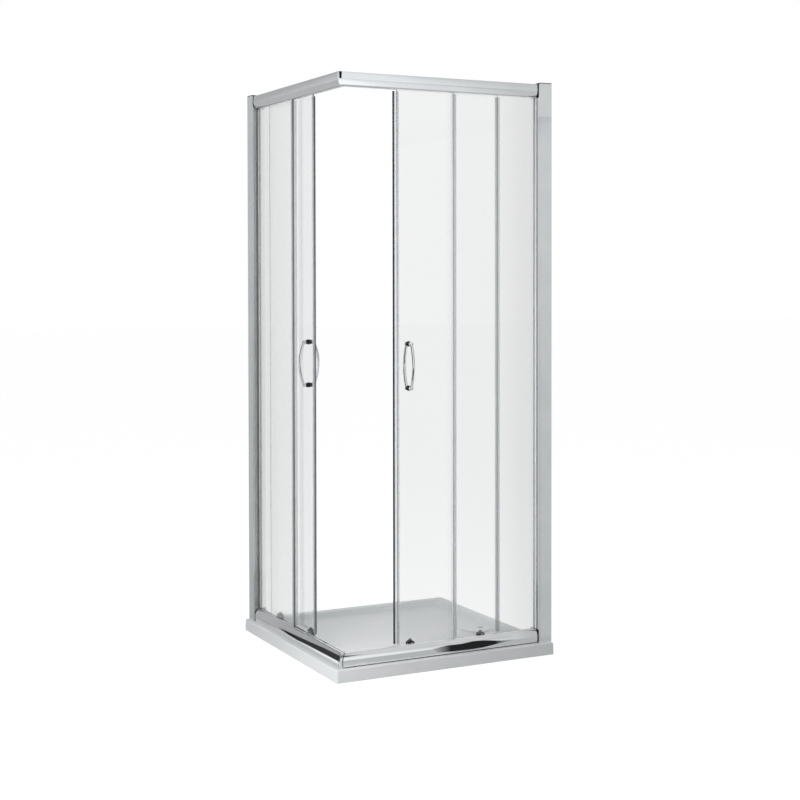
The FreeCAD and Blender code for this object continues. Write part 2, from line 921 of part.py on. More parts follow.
def post_screw(high, number):
    """A pan head screw through the channel's inner flange into the post."""
    body = new_body(f"post_screw_{number}")
    head = CHANNEL_BACK + S.screw_head_thick
    tip = CHANNEL_BACK - S.screw_long / 2
    profile = [
        (ZERO, tip),
        (S.screw_rad, tip),
        (S.screw_rad, CHANNEL_BACK),
        (S.screw_head_rad, CHANNEL_BACK),
        (S.screw_head_rad, head),
        (ZERO, head),
    ]
    turn_deep(body, profile, POST_SCREW_PLACE, high)
    return body


def rail_screw():
    """The screw that draws the lower rail's end against the post."""
    body = new_body("rail_screw")
    seat = x_at(POST_FACE + S.post_wall)
    tip = seat - S.screw_long
    head = seat + S.screw_head_thick
    sketch = new_sketch(body, "XY_Plane", up=y_at(PORT_MID), lift=S.tray_high + S.port_high)
    profile = [
        (tip, ZERO),
        (head, ZERO),
        (head, S.screw_head_rad),
        (seat, S.screw_head_rad),
        (seat, S.screw_rad),
        (tip, S.screw_rad),
    ]
    draw(sketch, profile)
    revolve(body, sketch, axis="H_Axis")
    return body


def door_stop(label, start):
    """A rubber buffer on the upper rail's web that a wheel runs up to."""
    under = RAIL_TOP - BEAD_TIP + S.ride_gap
    along = (start, start + S.stop_long)
    return block(label, along, (WEB_BACK, WEB_BACK + S.stop_deep), (under, under + S.stop_tall))


# Doors, drawn shut

DOOR_LOW = S.tray_high + S.door_bottom_gap
DOOR_HIGH = RAIL_TOP - S.door_top_gap
UPPER_AXLE = RAIL_TOP - WHEEL_HIGH
LOWER_AXLE = S.tray_high + WHEEL_HIGH
BOLT_HIGH = S.tray_high + S.bolt_high
HANDLE_ENDS = (S.handle_high - S.handle_span / 2, S.handle_high + S.handle_span / 2)
SEAL_LOW = LOWER_RAIL_TOP + S.gasket_proud + S.seal_rail_gap
SEAL_HIGH = UPPER_RAIL_UNDER - S.gasket_proud - S.seal_rail_gap


def door_glass():
    body = new_body("right_door_glass")
    sketch = new_sketch(body, "XZ_Plane", lift=-y_at(S.door_depth))
    draw(sketch, rectangle(x_at(DOOR_GLASS_LEAD), x_at(DOOR_GLASS_TRAIL), DOOR_LOW, DOOR_HIGH))
    for place in (FRONT_ROLLER, REAR_ROLLER):
        draw_circle(sketch, x_at(place), UPPER_AXLE, S.hanger_sleeve_rad + S.glass_hole_fit)
        draw_circle(sketch, x_at(place), BOLT_HIGH, S.bolt_rad + S.glass_hole_fit)
    for high in HANDLE_ENDS:
        draw_circle(sketch, x_at(HANDLE_PLACE), high, S.handle_stud_rad + S.glass_hole_fit)
    pad(body, sketch, S.glass_thick, reverse=True)
    return body


def meeting_place(depth, inset):
    """Where a depth meets the sloping face of the leading seal, or a plane inset behind it."""
    return depth + S.meeting_gap + inset


def magnet_outline():
    inset = S.magnet_skin
    back = S.magnet_skin + S.magnet_thick
    return [
        (meeting_place(S.door_depth, inset), S.door_depth),
        (meeting_place(S.door_depth, back), S.door_depth),
        (meeting_place(DOOR_BACK, back), DOOR_BACK),
        (meeting_place(DOOR_BACK, inset), DOOR_BACK),
    ]


def magnetic_seal():
    """The leading strip, whose sloping face meets the other door's on the diagonal."""
    body = new_body("right_magnetic_seal")
    leaf = DOOR_GLASS_LEAD + S.lead_leaf
    section = [
        (meeting_place(SEAL_OUT, ZERO), SEAL_OUT),
        (leaf, SEAL_OUT),
        (leaf, S.door_depth),
        (DOOR_GLASS_LEAD, S.door_depth),
        (DOOR_GLASS_LEAD, DOOR_BACK),
        (leaf, DOOR_BACK),
        (leaf, SEAL_IN),
        (meeting_place(SEAL_IN, ZERO), SEAL_IN),
    ]
    plan_pad(body, [in_plan(section), in_plan(magnet_outline())], SEAL_LOW, SEAL_HIGH)
    return body


def magnet_strip():
    body = new_body("right_magnet_strip")
    plan_pad(body, [in_plan(magnet_outline())], SEAL_LOW, SEAL_HIGH)
    return body


def trailing_seal():
    """The strip on the door's trailing edge, with a fin that meets the fixed seal's."""
    body = new_body("right_trailing_seal")
    leaf = DOOR_TRAIL - S.seal_leaf
    fin_tip = FIXED_BACK + S.seal_wall + S.fin_gap / 2
    fin = DOOR_TRAIL - S.fin_thick
    section = [
        (leaf, SEAL_OUT),
        (fin, SEAL_OUT),
        (fin, fin_tip),
        (DOOR_TRAIL, fin_tip),
        (DOOR_TRAIL, SEAL_IN),
        (leaf, SEAL_IN),
        (leaf, DOOR_BACK),
        (DOOR_GLASS_TRAIL, DOOR_BACK),
        (DOOR_GLASS_TRAIL, S.door_depth),
        (leaf, S.door_depth),
    ]
    plan_pad(body, [in_plan(section)], SEAL_LOW, SEAL_HIGH)
    return body


def wheel(label, place, high):
    """A grooved wheel that runs on the rail's bead, with a counterbore for the axle's head."""
    body = new_body(label)
    half = S.wheel_wide / 2
    outer = BEAD_MID - half
    inner = BEAD_MID + half
    bore = S.axle_rad + S.axle_fit
    root = S.wheel_rad - S.groove_deep
    root_half = S.bead_rad + S.groove_side_gap
    rim_half = root_half + S.groove_flare
    counterbore = S.axle_head_rad + S.axle_end_gap
    seat = outer + S.axle_head_thick + S.axle_end_gap * 2
    profile = [
        (bore, inner),
        (bore, seat),
        (counterbore, seat),
        (counterbore, outer),
        (S.wheel_rad, outer),
        (S.wheel_rad, BEAD_MID - rim_half),
        (root, BEAD_MID - root_half),
        (root, BEAD_MID + root_half),
        (S.wheel_rad, BEAD_MID + rim_half),
        (S.wheel_rad, inner),
    ]
    turn_deep(body, profile, place, high)
    return body


AXLE_END = BEAD_MID - S.wheel_wide / 2 + S.axle_end_gap
AXLE_HEAD = AXLE_END + S.axle_head_thick
WHEEL_SIDE = BEAD_MID + S.wheel_wide / 2 + S.hanger_collar_gap


def axle_profile():
    """The headed end that every wheel turns on, as (radius, depth), up to the wheel's inner side."""
    return [
        (ZERO, AXLE_END),
        (S.axle_head_rad, AXLE_END),
        (S.axle_head_rad, AXLE_HEAD),
        (S.axle_rad, AXLE_HEAD),
        (S.axle_rad, WHEEL_SIDE),
    ]


THREAD_END = DOOR_BACK + S.hanger_thread_long


def hanger_stud(label, place):
    """The stud through the door glass that carries an upper wheel."""
    body = new_body(label)
    profile = axle_profile() + [
        (S.hanger_collar_rad, WHEEL_SIDE),
        (S.hanger_collar_rad, S.door_depth),
        (S.hanger_sleeve_rad, S.door_depth),
        (S.hanger_sleeve_rad, DOOR_BACK),
        (S.hanger_thread_rad, DOOR_BACK),
        (S.hanger_thread_rad, THREAD_END),
        (ZERO, THREAD_END),
    ]
    turn_deep(body, profile, place, UPPER_AXLE)
    return body


def hanger_cap(label, place):
    """The round nut that clamps a hanger stud from inside the enclosure."""
    body = new_body(label)
    face = DOOR_BACK + S.hanger_cap_thick
    bore = S.hanger_thread_rad + S.screw_fit
    bore_end = THREAD_END + S.screw_fit
    profile = [
        (bore, DOOR_BACK),
        (S.hanger_cap_rad, DOOR_BACK),
        (S.hanger_cap_rad, face - S.hanger_cap_round, S.hanger_cap_round, LEFT_TURN),
        (S.hanger_cap_rad - S.hanger_cap_round, face),
        (ZERO, face),
        (ZERO, bore_end),
        (bore, bore_end),
    ]
    turn_deep(body, profile, place, UPPER_AXLE)
    return body


HOUSING_TOP = S.tray_high + S.housing_top
HOUSING_LOW = S.tray_high + S.housing_bottom
BUTTON_TOP = HOUSING_TOP + S.button_proud
BUTTON_UNDER = BUTTON_TOP - S.button_long
SPRING_SEAT = BUTTON_UNDER - S.spring_long


def roller_housing(label, place):
    """The domed housing on the door's inner face, bored for the sprung plunger and the fixing bolt."""
    body = new_body(label)
    half = S.housing_wide / 2
    shoulder = S.tray_high + S.housing_shoulder
    crown = S.housing_crown_rad
    corners = [
        (-half, HOUSING_LOW),
        (half, HOUSING_LOW),
        (half, shoulder, crown, LEFT_TURN),
        (ZERO, HOUSING_TOP, crown, LEFT_TURN),
        (-half, shoulder),
    ]
    sketch = deep_sketch(body, place, DOOR_BACK)
    draw(sketch, corners)
    pad(body, sketch, S.housing_deep, reverse=True)
    button = S.button_rad + S.button_fit
    stem = S.stem_rad + S.button_fit
    bore = [
        (ZERO, HOUSING_LOW - S.overrun),
        (stem, HOUSING_LOW - S.overrun),
        (stem, SPRING_SEAT),
        (button, SPRING_SEAT),
        (button, HOUSING_TOP + S.overrun),
        (ZERO, HOUSING_TOP + S.overrun),
    ]
    turn_upright(body, bore, x_at(place), y_at(PLUNGER), "PartDesign::Groove")
    hole = deep_sketch(body, place, DOOR_BACK)
    draw_circle(hole, ZERO, BOLT_HIGH, S.bolt_rad + S.screw_fit)
    pocket(body, hole, S.door_depth + S.bolt_long - DOOR_BACK + S.screw_fit)
    return body


def housing_bolt(label, place):
    """The low headed bolt that holds a roller housing to the glass."""
    body = new_body(label)
    head = S.door_depth - S.bolt_head_thick
    tip = S.door_depth + S.bolt_long
    profile = [
        (ZERO, head),
        (S.bolt_head_rad, head),
        (S.bolt_head_rad, S.door_depth),
        (S.bolt_rad, S.door_depth),
        (S.bolt_rad, tip),
        (ZERO, tip),
    ]
    turn_deep(body, profile, place, BOLT_HIGH)
    return body


def release(label, place):
    """The push button, its stem, and the arm that carries a lower wheel's axle under the glass."""
    body = new_body(label)
    arm_low = LOWER_AXLE - S.arm_tall / 2
    arm_top = LOWER_AXLE + S.arm_tall / 2
    plunger = [
        (ZERO, arm_low),
        (S.stem_rad, arm_low),
        (S.stem_rad, BUTTON_UNDER),
        (S.button_rad, BUTTON_UNDER),
        (S.button_rad, BUTTON_TOP - S.button_round, S.button_round, LEFT_TURN),
        (S.button_rad - S.button_round, BUTTON_TOP),
        (ZERO, BUTTON_TOP),
    ]
    turn_upright(body, plunger, x_at(place), y_at(PLUNGER))
    arm = deep_sketch(body, place, WHEEL_SIDE)
    draw(arm, rectangle(-S.arm_wide / 2, S.arm_wide / 2, arm_low, arm_top))
    pad(body, arm, PLUNGER + S.stem_rad - WHEEL_SIDE, reverse=True)
    turn_deep(body, axle_profile() + [(ZERO, WHEEL_SIDE)], place, LOWER_AXLE)
    return body


def release_spring(label, place):
    """The spring round the plunger's stem, drawn as its closed outer form."""
    body = new_body(label)
    inner = S.stem_rad + S.spring_gap
    outer = S.button_rad - S.spring_gap
    profile = [
        (inner, SPRING_SEAT),
        (outer, SPRING_SEAT),
        (outer, BUTTON_UNDER),
        (inner, BUTTON_UNDER),
    ]
    turn_upright(body, profile, x_at(place), y_at(PLUNGER))
    return body


def bow_handle(label, with_studs):
    """A bent bar on two posts outside the door. The posts end in studs, or are bored for them."""
    body = new_body(label)
    post_root = S.door_depth - S.collar_thick
    bow_end = S.door_depth - S.handle_reach
    post_tip = bow_end - S.handle_bar_rad
    half = S.handle_span / 2
    bow_rad = (half * half + S.handle_bow * S.handle_bow) / (S.handle_bow * 2)
    axis_depth = bow_end - S.handle_bow + bow_rad
    section = new_sketch(body, "XY_Plane", across=x_at(HANDLE_PLACE), up=y_at(axis_depth), lift=S.handle_high)
    draw_circle(section, ZERO, -bow_rad, S.handle_bar_rad)
    bar = revolve(body, section, axis="H_Axis")
    bar.Midplane = True
    bar.setExpression("Angle", f"2 * asin({half.text} / {bow_rad.text})")
    stud_end = DOOR_BACK + S.handle_stud_long
    bore = S.handle_stud_rad + S.screw_fit
    bore_end = post_root - S.handle_stud_long
    stud = [
        (S.handle_stud_rad, post_root),
        (S.handle_stud_rad, stud_end),
        (ZERO, stud_end),
    ]
    socket = [
        (bore, post_root),
        (bore, bore_end),
        (ZERO, bore_end),
    ]
    for high in HANDLE_ENDS:
        profile = [
            (ZERO, post_tip),
            (S.handle_post_rad - S.handle_post_round, post_tip, S.handle_post_round, LEFT_TURN),
            (S.handle_post_rad, post_tip + S.handle_post_round),
            (S.handle_post_rad, post_root),
        ]
        turn_deep(body, profile + (stud if with_studs else socket), HANDLE_PLACE, high)
    return body


def handle_collar(label, face, high):
    """A dark washer between a handle post and the glass."""
    body = new_body(label)
    bore = S.handle_stud_rad + S.screw_fit
    profile = [
        (bore, face),
        (S.collar_rad, face),
        (S.collar_rad, face + S.collar_thick),
        (bore, face + S.collar_thick),
    ]
    turn_deep(body, profile, HANDLE_PLACE, high)
    return body


# Assembly


def frame_pieces():
    """Everything that stays still, by node name."""
    pieces = {piece.Label: piece for piece in (shower_tray(), waste_flange(), waste_cover())}
    for piece in (wall_channel(), post(), post_gasket(), fixed_glass(), fixed_seal()):
        left_label = piece.Label.replace("right", "left")
        pieces[piece.Label] = piece
        pieces[left_label] = left_twin(piece, left_label)
    lower = bottom_rail()
    upper = upper_twin(lower, "right_top_rail")
    for rail in (lower, upper):
        left_label = rail.Label.replace("right", "left")
        pieces[rail.Label] = rail
        pieces[left_label] = left_twin(rail, left_label)
    corner = corner_piece(corner_half())
    pieces[corner.Label] = corner
    upper_corner = upper_twin(corner, "upper_corner")
    pieces["top_corner_piece"] = notched_corner(upper_corner)
    pieces["rail_gaskets"] = group("rail_gaskets", four_of(rail_gasket()))
    pieces["rail_end_caps"] = group("rail_end_caps", four_of(rail_end_cap()) + [corner_plug(upper_corner)])
    pieces["channel_caps"] = group("channel_caps", two_of(channel_cap()))
    stops = [
        door_stop("shut_stop", FRONT_ROLLER - S.wheel_rad - S.stop_gap - S.stop_long),
        door_stop("open_stop", REAR_ROLLER + FULL_OPEN + S.wheel_rad + S.stop_gap),
    ]
    pieces["door_stops"] = group("door_stops", [twin for stop in stops for twin in two_of(stop)])
    screws = four_of(rail_screw())
    for number, high in enumerate(screw_heights(), start=1):
        screws += two_of(post_screw(high, number))
    pieces["frame_screws"] = group("frame_screws", screws)
    return pieces


def two_of(piece):
    """The piece on the right side and its twin on the left."""
    return [piece, left_twin(piece, f"{piece.Name}_left")]


def four_of(piece):
    """The piece at the bottom and the top of both sides."""
    return two_of(piece) + two_of(upper_twin(piece, f"{piece.Name}_upper"))


def both_rollers(label, make):
    """A piece at the front and the rear roller of the right door."""
    return [make(f"{label}_front", FRONT_ROLLER), make(f"{label}_rear", REAR_ROLLER)]


def door_pieces():
    """The right door's pieces, drawn shut, by node name."""
    pieces = [door_glass(), magnetic_seal(), magnet_strip(), trailing_seal()]
    pieces.append(bow_handle("right_outer_handle", True))
    blank = bow_handle("inner_handle_blank", False)
    pieces.append(mirror_of(blank, "right_inner_handle", INWARD, "y", y_at(DOOR_MID)))
    collars = []
    for high_name, high in zip(("low", "high"), HANDLE_ENDS):
        collars.append(handle_collar(f"outer_collar_{high_name}", S.door_depth - S.collar_thick, high))
        collars.append(handle_collar(f"inner_collar_{high_name}", DOOR_BACK, high))
    pieces.append(group("right_handle_collars", collars))
    pieces.append(group("right_hanger_studs", both_rollers("hanger_stud", hanger_stud)))
    pieces.append(group("right_hanger_caps", both_rollers("hanger_cap", hanger_cap)))
    pieces.append(group("right_roller_housings", both_rollers("roller_housing", roller_housing)))
    pieces.append(group("right_housing_bolts", both_rollers("housing_bolt", housing_bolt)))
    pieces.append(group("right_release_springs", both_rollers("release_spring", release_spring)))
    for end, place in (("front", FRONT_ROLLER), ("rear", REAR_ROLLER)):
        pieces.append(release(f"right_{end}_release", place))
        pieces.append(wheel(f"right_top_{end}_wheel", place, UPPER_AXLE))
        pieces.append(wheel(f"right_bottom_{end}_wheel", place, LOWER_AXLE))
    return pieces


def both_doors():
    """Both doors as the photograph has them: each slid open by its own distance."""
    pieces = {}
    for piece in door_pieces():
        left_label = piece.Label.replace("right", "left")
        piece.setExpression("Placement.Base.x", (FULL_OPEN * RIGHT_OPEN_SHARE).text)
        twin = left_twin(piece, left_label)
        twin.setExpression("Placement.Base.y", (FULL_OPEN * (LEFT_OPEN_SHARE - RIGHT_OPEN_SHARE)).text)
        pieces[piece.Label] = piece
        pieces[left_label] = twin
    return pieces


def check(pieces):
    """Stop on any object that failed and any node without a sound shape."""
    for item in doc.Objects:
        if "Invalid" in item.State or "Error" in item.State:
            raise RuntimeError(f"{item.Label} failed: {item.State}")
    for label, piece in pieces.items():
        if piece.Shape.isNull() or not piece.Shape.isValid() or not piece.Shape.Solids:
            raise RuntimeError(f"{label} has no sound solid")


def main():
    pieces = {**frame_pieces(), **both_doors()}
    doc.recompute()
    check(pieces)
    os.makedirs("parts", exist_ok=True)
    for label, piece in pieces.items():
        piece.Shape.exportStep(f"parts/{label}.step")
        print(label, len(piece.Shape.Solids), round(piece.Shape.Volume))
    print(len(pieces), "nodes")


main()
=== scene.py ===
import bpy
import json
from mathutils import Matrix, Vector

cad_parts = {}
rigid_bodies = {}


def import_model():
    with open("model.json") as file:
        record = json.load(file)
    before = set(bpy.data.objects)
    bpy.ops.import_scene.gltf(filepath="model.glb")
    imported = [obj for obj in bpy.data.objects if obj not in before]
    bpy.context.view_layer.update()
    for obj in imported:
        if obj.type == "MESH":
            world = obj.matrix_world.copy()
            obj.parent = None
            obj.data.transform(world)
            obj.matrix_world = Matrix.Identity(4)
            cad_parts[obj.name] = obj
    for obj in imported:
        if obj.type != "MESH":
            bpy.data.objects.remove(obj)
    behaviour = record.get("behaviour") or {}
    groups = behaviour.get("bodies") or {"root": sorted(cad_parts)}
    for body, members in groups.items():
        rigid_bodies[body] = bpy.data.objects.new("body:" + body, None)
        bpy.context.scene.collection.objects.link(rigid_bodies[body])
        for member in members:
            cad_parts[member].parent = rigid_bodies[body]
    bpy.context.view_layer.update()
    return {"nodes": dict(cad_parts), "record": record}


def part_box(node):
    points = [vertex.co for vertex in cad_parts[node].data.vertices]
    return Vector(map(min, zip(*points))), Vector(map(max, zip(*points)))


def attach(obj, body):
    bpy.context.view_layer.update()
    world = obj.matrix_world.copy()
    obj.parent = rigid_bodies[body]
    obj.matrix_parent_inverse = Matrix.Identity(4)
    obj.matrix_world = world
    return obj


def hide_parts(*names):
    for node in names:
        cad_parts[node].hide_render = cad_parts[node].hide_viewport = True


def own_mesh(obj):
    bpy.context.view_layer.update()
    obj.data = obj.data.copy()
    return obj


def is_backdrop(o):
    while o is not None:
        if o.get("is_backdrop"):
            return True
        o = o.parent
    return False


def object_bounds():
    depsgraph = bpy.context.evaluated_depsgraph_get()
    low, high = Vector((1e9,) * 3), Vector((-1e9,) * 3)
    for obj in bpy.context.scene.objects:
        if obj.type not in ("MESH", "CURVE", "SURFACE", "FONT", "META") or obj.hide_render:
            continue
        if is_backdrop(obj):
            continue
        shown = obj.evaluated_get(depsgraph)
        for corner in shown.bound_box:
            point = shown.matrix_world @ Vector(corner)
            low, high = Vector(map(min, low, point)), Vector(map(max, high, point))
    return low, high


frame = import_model()

# %% [markdown]
# # A corner entry shower enclosure
# The enclosure stands on a low white tray. Polished aluminium uprights and rails hold clear glass,
# and two doors slide on small wheels and meet at the near corner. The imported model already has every
# piece in its place, in metres, with +Z up and the origin under the middle of the tray. This lesson adds
# a camera, a white studio, finishes for each material, and the small forms that a solid leaves plain.

# %% Imports and units
import json
import math

import bmesh
import bpy
from mathutils import Matrix, Vector

MM = 0.001
HALF = 400 * MM
SIDES = ("right", "left")
scene = bpy.context.scene
node_slots = {row["node"]: row["material_slot"] for row in frame["record"]["subparts"]}
node_body = {node: body for body, nodes in frame["record"]["behaviour"]["bodies"].items() for node in nodes}
print("material slots:", sorted(set(node_slots.values())))

# %% [markdown]
# ## The camera
# The photograph was taken from outside the near corner, a little above the middle of the glass, with a long
# lens. The upright edges stay parallel, as in a view camera whose back is slid rather than tilted. Blender
# does the same with the lens shift: the camera looks almost level, and the frame slides down.

# %% Camera
LENS_MM = 66.9355
SENSOR_MM = 36
CAMERA_PLACE = Vector((-2.29763, -4.60105, 1.27295))
CAMERA_AZIMUTH = math.radians(-26.7816)
CAMERA_DOWN = math.radians(1.2367)
CAMERA_ROLL = math.radians(-0.1044)
CAMERA_SHIFT_Y = -0.116
FARTHEST_SEEN = 100

camera_data = bpy.data.cameras.new("camera")
camera_data.lens = LENS_MM
camera_data.sensor_width = SENSOR_MM
camera_data.shift_y = CAMERA_SHIFT_Y
camera_data.clip_end = FARTHEST_SEEN
camera = bpy.data.objects.new("camera", camera_data)
scene.collection.objects.link(camera)
ahead = Vector((-math.sin(CAMERA_AZIMUTH) * math.cos(CAMERA_DOWN),
                math.cos(CAMERA_AZIMUTH) * math.cos(CAMERA_DOWN),
                -math.sin(CAMERA_DOWN)))
across = Vector((math.cos(CAMERA_AZIMUTH), math.sin(CAMERA_AZIMUTH), 0))
upward = across.cross(ahead)
turned = across * math.cos(CAMERA_ROLL) + upward * math.sin(CAMERA_ROLL)
raised = upward * math.cos(CAMERA_ROLL) - across * math.sin(CAMERA_ROLL)
axes = Matrix((turned, raised, -ahead)).transposed()
camera.matrix_world = Matrix.Translation(CAMERA_PLACE) @ axes.to_4x4()
scene.camera = camera
scene.view_settings.view_transform = "Standard"
print("camera looks along", [round(v, 3) for v in ahead])

# %% [markdown]
# ## A white studio
# Product pictures of glass and metal are made in a white sweep. What the camera sees behind the object is plain
# white, and so is what glass lets through. Metal needs something else to mirror, or it looks like paper: the dim
# side of the studio where the camera stands, with a few windows and dark openings. So the world is white for the
# eye, soft grey as a light, and for mirrors a ring of tones by compass bearing, counted from straight ahead.

# %% World
DAYLIGHT = 0.28
DAYLIGHT_COLOUR = (0.96, 0.98, 1.0, 1)
BACKDROP = (1, 1, 1, 1)
COOL_GREY = (0.975, 0.99, 1.0)
STUDIO_TONES = (
    (-180, 0.95), (-152, 0.95), (-146, 0.04), (-84, 0.04), (-76, 0.85), (-59, 0.85), (-54.5, 0.67), (-51.3, 0.63),
    (-48, 0.47), (-45, 0.46), (-40, 0.75), (-36, 0.75), (-33, 0.05), (-30, 0.05), (-24, 1.0), (24, 1.0), (30, 0.05),
    (94, 0.05), (102, 0.62), (119, 0.62), (121.5, 0.66), (124, 0.80), (126.5, 0.98), (139, 0.98), (143, 0.04),
    (149, 0.04), (154, 0.95), (180, 0.95),
)
CEILING_TONE = 0.75
CEILING_FROM, CEILING_FULL = 0.5, 0.9


def new_node(tree, kind, inputs=None, **settings):
    """Add a node, set its properties, and link its inputs to outputs or set them to values."""
    node = tree.nodes.new(kind)
    for name, value in settings.items():
        setattr(node, name, value)
    for name, value in (inputs or {}).items():
        if isinstance(value, bpy.types.NodeSocket):
            tree.links.new(value, node.inputs[name])
        else:
            node.inputs[name].default_value = value
    return node


def ramp_of(tree, value, stops, tint=COOL_GREY):
    """Tones of one tint by a varying value, as (position, tone) stops."""
    ramp = new_node(tree, "ShaderNodeValToRGB", {"Fac": value})
    elements = ramp.color_ramp.elements
    while len(elements) < len(stops):
        elements.new(0.5)
    for element, (position, tone) in zip(elements, stops):
        element.position = position
        element.color = (*(tone * share for share in tint), 1)
    return ramp.outputs["Color"]


def ranged(tree, value, low, high):
    """A varying value as its share of the way from low to high."""
    return new_node(tree, "ShaderNodeMapRange", {"Value": value, "From Min": low, "From Max": high}).outputs["Result"]


def reach(tree, vector, way):
    """How far a varying vector reaches along a fixed one."""
    return new_node(tree, "ShaderNodeVectorMath", {0: vector, 1: way}, operation="DOT_PRODUCT").outputs["Value"]


def maths(tree, operation, first, second):
    """The result of a Math node on two values."""
    return new_node(tree, "ShaderNodeMath", {0: first, 1: second}, operation=operation).outputs[0]


def seen_straight(tree, path):
    """True for what the camera sees, also through glass, but not for light that a surface gathers."""
    not_gathered = maths(tree, "LESS_THAN", path.outputs["Diffuse Depth"], 0.5)
    through = maths(tree, "MULTIPLY", path.outputs["Is Transmission Ray"], not_gathered)
    return maths(tree, "MAXIMUM", path.outputs["Is Camera Ray"], through)


def switched(tree, switch, off, on):
    """One shader or another."""
    return new_node(tree, "ShaderNodeMixShader", {"Fac": switch, 1: off, 2: on}).outputs[0]


world = bpy.data.worlds.new("studio")
scene.world = world
world.use_nodes = True
wt = world.node_tree
wt.nodes.clear()
path = new_node(wt, "ShaderNodeLightPath")
direction = new_node(wt, "ShaderNodeTexCoord").outputs["Generated"]
legs = [reach(wt, direction, (way.x, way.y, 0)) for way in (across, ahead)]
bearing = ranged(wt, maths(wt, "ARCTAN2", *legs), -math.pi, math.pi)
ring = ramp_of(wt, bearing, [((degrees + 180) / 360, tone) for degrees, tone in STUDIO_TONES])
height = new_node(wt, "ShaderNodeSeparateXYZ", {0: direction}).outputs["Z"]

plain = new_node(wt, "ShaderNodeBackground", {"Color": DAYLIGHT_COLOUR, "Strength": DAYLIGHT})
walls = new_node(wt, "ShaderNodeBackground", {"Color": ring})
ceiling = new_node(wt, "ShaderNodeBackground", {"Color": BACKDROP, "Strength": CEILING_TONE})
backdrop = new_node(wt, "ShaderNodeBackground", {"Color": BACKDROP})
mirrored = switched(wt, ranged(wt, height, CEILING_FROM, CEILING_FULL), walls.outputs[0], ceiling.outputs[0])
lit = switched(wt, path.outputs["Is Glossy Ray"], plain.outputs[0], mirrored)
seen = switched(wt, seen_straight(wt, path), lit, backdrop.outputs[0])
new_node(wt, "ShaderNodeOutputWorld", {"Surface": seen})
print("world nodes:", len(wt.nodes))

# %% [markdown]
# The floor is a pale sheet. To the camera and through glass it glows almost to the backdrop's white, so no horizon
# shows, and the little that it takes from the lamps keeps a soft shadow under the tray. Metal mirrors it as a grey
# floor with a painted pool of light in front of the corner. Under the tray it doesn't glow, so the waste's outlet
# is dark when its cover is lifted. The lamps are two large soft boxes: the stronger one stands to the left and
# lights the tray's left edge. They light the set but aren't seen, in the metal or through the glass.

# %% Floor and lamps
SQUARE = ((-1, -1), (1, -1), (1, 1), (-1, 1))
FLOOR_SIZE = 30
FLOOR_UP = -0.5 * MM
FLOOR_GREY = (0.8, 0.8, 0.8, 1)
FLOOR_GLOW = 0.935
SHADOW_GREY = (0.21, 0.21, 0.21, 1)
UNDER_TRAY = 390 * MM
ACROSS_CORNER = (0.707, -0.707, 0)
FLOOR_SPAN = 6.4
# Tones of the floor as metal mirrors it: a painted pool of light in front of the corner.
FLOOR_TONES = (
    (-3.2, 0.52), (-0.85, 0.47), (-0.62, 0.42), (-0.40, 0.72), (-0.25, 1.0), (-0.12, 1.0), (0.05, 0.75), (0.22, 0.56),
    (0.80, 0.50), (1.0, 0.56), (3.2, 0.60),
)


def stage_sheet(name, corners):
    """A flat sheet of the set from its corners."""
    mesh = bpy.data.meshes.new(name)
    mesh.from_pydata([tuple(corner) for corner in corners], [], [tuple(range(len(corners)))])
    sheet = bpy.data.objects.new(name, mesh)
    scene.collection.objects.link(sheet)
    sheet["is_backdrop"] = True
    return sheet


def bare_material(name):
    """A material whose node tree is still empty."""
    material = bpy.data.materials.new(name)
    material.use_nodes = True
    material.node_tree.nodes.clear()
    return material


floor = stage_sheet("floor", [(x * FLOOR_SIZE, y * FLOOR_SIZE, FLOOR_UP) for x, y in SQUARE])
paper = bare_material("white_paper")
pt = paper.node_tree
floor_path = new_node(pt, "ShaderNodeLightPath")
floor_place = new_node(pt, "ShaderNodeTexCoord").outputs["Object"]
from_middle = new_node(pt, "ShaderNodeVectorMath", {0: floor_place}, operation="ABSOLUTE").outputs[0]
legs_apart = new_node(pt, "ShaderNodeSeparateXYZ", {0: from_middle}).outputs
beyond = maths(pt, "GREATER_THAN", maths(pt, "MAXIMUM", legs_apart["X"], legs_apart["Y"]), UNDER_TRAY)
glow = new_node(pt, "ShaderNodeEmission", {"Color": beyond, "Strength": FLOOR_GLOW})
shadowed = new_node(pt, "ShaderNodeBsdfDiffuse", {"Color": SHADOW_GREY})
white = new_node(pt, "ShaderNodeAddShader", {0: glow.outputs[0], 1: shadowed.outputs[0]})
slant = ranged(pt, reach(pt, floor_place, ACROSS_CORNER), -FLOOR_SPAN / 2, FLOOR_SPAN / 2)
grey = ramp_of(pt, slant, [(metres / FLOOR_SPAN + 0.5, tone) for metres, tone in FLOOR_TONES])
mirrored_floor = new_node(pt, "ShaderNodeEmission", {"Color": grey})
gathering = new_node(pt, "ShaderNodeBsdfDiffuse", {"Color": FLOOR_GREY})
floor_lit = switched(pt, floor_path.outputs["Is Glossy Ray"], gathering.outputs[0], mirrored_floor.outputs[0])
floor_seen = switched(pt, seen_straight(pt, floor_path), floor_lit, white.outputs[0])
new_node(pt, "ShaderNodeOutputMaterial", {"Surface": floor_seen})
floor.data.materials.append(paper)


def soft_box(name, place, aim, size, power):
    """A large soft lamp at a place, turned towards a point."""
    data = bpy.data.lights.new(name, "AREA")
    data.shape = "RECTANGLE"
    data.size, data.size_y = size
    data.energy = power
    lamp = bpy.data.objects.new(name, data)
    scene.collection.objects.link(lamp)
    lamp.location = place
    lamp.rotation_euler = (Vector(aim) - Vector(place)).to_track_quat("-Z", "Y").to_euler()
    lamp.visible_camera = lamp.visible_glossy = lamp.visible_transmission = False


soft_box("left_soft_box", place=(-1.4, -0.95, 1.4), aim=(-0.4, -0.3, 0.2), size=(1.0, 1.3), power=28)
soft_box("top_soft_box", place=(0.8, 0.6, 3.2), aim=(0.1, 0, 0), size=(2.2, 2.2), power=16.5)

